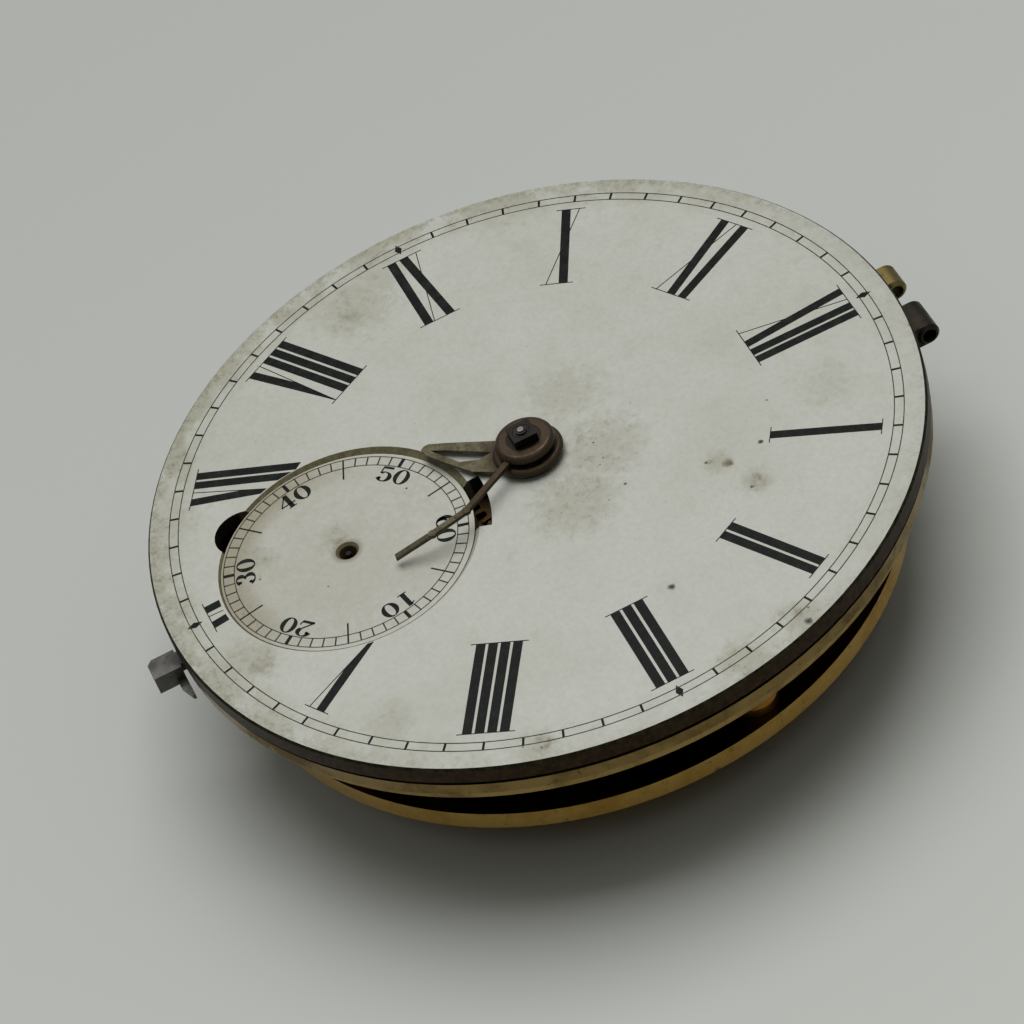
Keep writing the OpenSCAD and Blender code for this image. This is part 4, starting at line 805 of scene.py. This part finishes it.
def from_seconds(places):
    """Marks given from the seconds centre, in the dial's own coordinates."""
    return [(SECONDS_AT.x + x, SECONDS_AT.y + y, r, strength) for x, y, r, strength in places]


ink = ink_material("ink", rgb(14, 17, 15), rgb(36, 40, 35))
faded_ink = ink_material("faded_ink", rgb(48, 48, 40), rgb(96, 93, 79))
enamel = enamel_material("enamel", HAZE, STAINS, CHIPS, None)
seconds_enamel = enamel_material(
    "seconds_enamel",
    from_seconds(SECONDS_HAZE),
    from_seconds(SECONDS_STAINS),
    from_seconds(SECONDS_CHIPS),
    (SECONDS_AT.x + SECONDS_BROWN_SIDE[0], SECONDS_AT.y + SECONDS_BROWN_SIDE[1], 0.0),
)
# Looks by material slot, and those of single nodes that differ from their slot
looks = {
    "enamel": enamel,
    "brass": metal_material("aged_brass"),
    "gilt": metal_material("old_gilding", grain_scale=GILDING_GRAIN),
    "steel": metal_material("worn_steel", grain=BRUSHED),
    "dark_steel": metal_material("dark_steel"),
    "copper": metal_material("bare_copper"),
    "hands": hand_material("minute_hand_patina", 4.5, 7.5),
    "ruby": ruby_material(),
}
motion_brass = metal_material("motion_brass")
pillar_brass = metal_material("pillar_brass")
OWN_LOOKS = {
    "seconds_dial": seconds_enamel,
    "cannon_pinion": metal_material("square_steel"),
    "centre_arbor": metal_material("arbor_steel", painted_highlight_above=ARBOR_TOP - ARBOR_HIGHLIGHT_DEPTH),
    # Painted shade: dark arbor in the seconds hole
    "fourth_arbor": metal_material("shaded_fourth_steel"),
    "minute_wheel": motion_brass,
    "hour_wheel": motion_brass,
    "hour_hand": hand_material("hour_hand_patina", 1.9, 2.8),
    "joint_knuckle_left": metal_material("knuckle_brass"),
    "pillar_plate": metal_material("plate_brass", shaded_inner_side=-1.0),
    "top_plate": metal_material("plate_gilding", grain_scale=GILDING_GRAIN, shaded_inner_side=1.0),
    "balance_cock": metal_material("engraved_gilding", grain_scale=GILDING_GRAIN, engraved_at=BALANCE_AT),
    "chain_on_fusee": chain_material("fusee_chain", FUSEE_AT, FUSEE_CHAIN_R),
    "chain_on_barrel": chain_material("barrel_chain", BARREL_AT, BARREL_CHAIN_R),
    "chain_run": chain_material("straight_chain"),
    "pillar_1": pillar_brass,
    "pillar_2": pillar_brass,
    "pillar_3": pillar_brass,
    "pillar_4": pillar_brass,
    "bolt": metal_material("bolt_steel"),
}
for part in record["subparts"]:
    obj = frame["nodes"][part["node"]]
    obj.data.materials.clear()
    obj.data.materials.append(OWN_LOOKS.get(part["node"], looks[part["material_slot"]]))

# Dial print
bm = bmesh.new()
for hour, text in enumerate(NUMERALS):
    add_numeral(bm, text, 30 * hour)
new_piece("dial_numerals", bm, "frame", ink)

bm = bmesh.new()
for r in TRACK_R:
    add_ring(bm, (0.0, 0.0), r, TRACK_LINE, dial_z)
new_piece("minute_track", bm, "frame", faded_ink)

bm = bmesh.new()
track_middle = sum(TRACK_R) / 2
for minute in range(60):
    h = 6 * minute
    if minute % 15:
        add_tick(bm, h, TRACK_R[0], TRACK_R[1], TICK_W, dial_z)
    else:
        add_print(bm, [
            clock_point(h, track_middle - DIAMOND[0] / 2),
            clock_point(h, track_middle, -DIAMOND[1] / 2),
            clock_point(h, track_middle + DIAMOND[0] / 2),
            clock_point(h, track_middle, DIAMOND[1] / 2),
        ], dial_z)
new_piece("minute_ticks", bm, "frame", ink)

# Print of the seconds dial
seconds_centre = SECONDS_AT + SECONDS_SHIFT
seconds_in, seconds_out = SECONDS_TRACK
bm = bmesh.new()
for r in SECONDS_TRACK:
    add_ring(bm, seconds_centre, r, SECONDS_LINE, seconds_z, SECONDS_RING_STEPS)
for second in range(60):
    if second % 5:
        h = SECONDS_TURN + 6 * second
        add_tick(bm, h, seconds_in, seconds_out, SECONDS_TICK_W, seconds_z, seconds_centre)
new_piece("seconds_track", bm, "frame", faded_ink)

bm = bmesh.new()
for second in range(0, 60, 5):
    h = SECONDS_TURN + 6 * second
    if second % 10:
        add_tick(bm, h, SECONDS_LONG_TICK, seconds_out, SECONDS_FIVE_W, seconds_z, seconds_centre)
    else:
        add_tick(bm, h, seconds_in, seconds_out, SECONDS_TEN_W, seconds_z, seconds_centre)
for number in range(10, 61, 10):
    h = SECONDS_TURN + 6 * number
    add_number(bm, str(number), h, SECONDS_NUMBER_R, SECONDS_NUMBER_H, seconds_centre, seconds_z)
new_piece("seconds_print", bm, "frame", ink)

# Bolt spring: a strip held by its screw, drawn as a plain copy of the part, which is hidden
spring_node = frame["nodes"]["bolt_spring"]
spring = bpy.data.objects.new("bolt_spring_strip", spring_node.data.copy())
bpy.context.scene.collection.objects.link(spring)
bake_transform(spring)
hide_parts("bolt_spring")

# Regulator scale on the back of the top plate
bm = bmesh.new()
for step in range(-SCALE_STEPS, SCALE_STEPS + 1):
    h = SCALE_MIDDLE + SCALE_STEP * step
    reach = SCALE_LONG if step % SCALE_STEPS == 0 else SCALE_SHORT
    add_tick(bm, h, SCALE_R, SCALE_R + reach, SCALE_W, top_plate_back, BALANCE_AT, PRINT_SINK, PRINT_T)
new_piece("regulator_scale", bm, "frame", ink)

# Floor: its side in metres, and the reach in millimetres of its painted light, darker away from the camera and
# lighter towards it
FLOOR_SIDE = 1.3
FLOOR_REACH = 120.0
FLOOR_LIGHT_TONES = (rgb(180, 182, 179), rgb(205, 209, 203))
floor_graph = Graph("floor", specular=0.0)
# Painted light: the floor's tone grows lighter towards the camera
floor_painted_light = floor_graph.span(floor_graph.part(floor_graph.at, "X"), -FLOOR_REACH, FLOOR_REACH)
floor_tone = floor_graph.mix(floor_painted_light, *FLOOR_LIGHT_TONES)
floor_look = floor_graph.finish(floor_tone, floor_graph.span(floor_graph.noise(0.05), 0.3, 0.7, 0.65, 0.75))
bm = bmesh.new()
bmesh.ops.create_grid(bm, x_segments=1, y_segments=1, size=FLOOR_SIDE / 2)
floor_mesh = bpy.data.meshes.new("floor")
bm.to_mesh(floor_mesh)
bm.free()
floor = bpy.data.objects.new("floor", floor_mesh)
bpy.context.scene.collection.objects.link(floor)
floor.data.materials.append(floor_look)

# Light: one large soft box and a sky that is brightest behind it
KEY_AT = Vector((-0.26, 0.1, 0.87))
KEY_SIDE = 0.72
KEY_POWER = 5.9
SKY_WAY = (-0.3, 0.05, 0.95)
SKY_SPAN = (0.1, 1.0)
SKY_LEVELS = (0.0, 0.5)
SKY_TONE = rgb(246, 246, 240)
BACKDROP_LEVEL = 0.5
BACKDROP_TONE = rgb(236, 240, 238)

key_data = bpy.data.lights.new("key", "AREA")
key_data.size = KEY_SIDE
key_data.energy = KEY_POWER
key = bpy.data.objects.new("key", key_data)
key.location = KEY_AT
key.rotation_mode = "QUATERNION"
key.rotation_quaternion = (-KEY_AT).to_track_quat("-Z", "Y")
bpy.context.scene.collection.objects.link(key)

world = bpy.data.worlds.new("studio")
bpy.context.scene.world = world
world.use_nodes = True
sky = world.node_tree


def sky_node(kind, operation=None):
    node = sky.nodes.new(kind)
    if operation is not None:
        node.operation = operation
    return node


sky_coord = sky_node("ShaderNodeTexCoord")
sky_dot = sky_node("ShaderNodeVectorMath", "DOT_PRODUCT")
sky_dot.inputs[1].default_value = SKY_WAY
sky_level = sky_node("ShaderNodeMapRange")
sky_level.interpolation_type = "SMOOTHSTEP"
sky_level.inputs["From Min"].default_value = SKY_SPAN[0]
sky_level.inputs["From Max"].default_value = SKY_SPAN[1]
sky_level.inputs["To Min"].default_value = SKY_LEVELS[0]
sky_level.inputs["To Max"].default_value = SKY_LEVELS[1]
sky_light = sky.nodes["Background"]
sky_light.inputs["Color"].default_value = SKY_TONE
# What the camera and reflections see of the sky is a plain backdrop
backdrop = sky_node("ShaderNodeBackground")
backdrop.inputs["Color"].default_value = BACKDROP_TONE
backdrop.inputs["Strength"].default_value = BACKDROP_LEVEL
seen = sky_node("ShaderNodeLightPath")
seen_first = sky_node("ShaderNodeMath", "MAXIMUM")
seen_any = sky_node("ShaderNodeMath", "MAXIMUM")
seen_share = sky_node("ShaderNodeMixShader")
sky.links.new(sky_coord.outputs["Generated"], sky_dot.inputs[0])
sky.links.new(sky_dot.outputs["Value"], sky_level.inputs["Value"])
sky.links.new(sky_level.outputs["Result"], sky_light.inputs["Strength"])
sky.links.new(seen.outputs["Is Camera Ray"], seen_first.inputs[0])
sky.links.new(seen.outputs["Is Glossy Ray"], seen_first.inputs[1])
sky.links.new(seen_first.outputs[0], seen_any.inputs[0])
sky.links.new(seen.outputs["Is Transmission Ray"], seen_any.inputs[1])
sky.links.new(seen_any.outputs[0], seen_share.inputs["Fac"])
sky.links.new(sky_light.outputs[0], seen_share.inputs[1])
sky.links.new(backdrop.outputs[0], seen_share.inputs[2])
sky.links.new(seen_share.outputs[0], sky.nodes["World Output"].inputs["Surface"])

# Camera, as fitted to the photo
CAMERA_AT = Vector((194.62, -28.24, 197.46)) * MM
CAMERA_LOOK = Vector((-0.71348, 0.09618, -0.69404))
CAMERA_ROLL = math.radians(-21.02)
CAMERA_LENS = 178.41
CAMERA_SENSOR = 36.0
CAMERA_CLIP = 0.01
VIEW_AXIS = (0.0, 0.0, 1.0)
camera_data = bpy.data.cameras.new("camera")
camera_data.lens = CAMERA_LENS
camera_data.sensor_width = CAMERA_SENSOR
camera_data.sensor_fit = "HORIZONTAL"
camera_data.clip_start = CAMERA_CLIP
camera = bpy.data.objects.new("camera", camera_data)
camera.location = CAMERA_AT
camera.rotation_mode = "QUATERNION"
camera.rotation_quaternion = CAMERA_LOOK.to_track_quat("-Z", "Y") @ Quaternion(VIEW_AXIS, CAMERA_ROLL)
bpy.context.scene.collection.objects.link(camera)
bpy.context.scene.camera = camera
bpy.context.scene.view_settings.view_transform = "Standard"
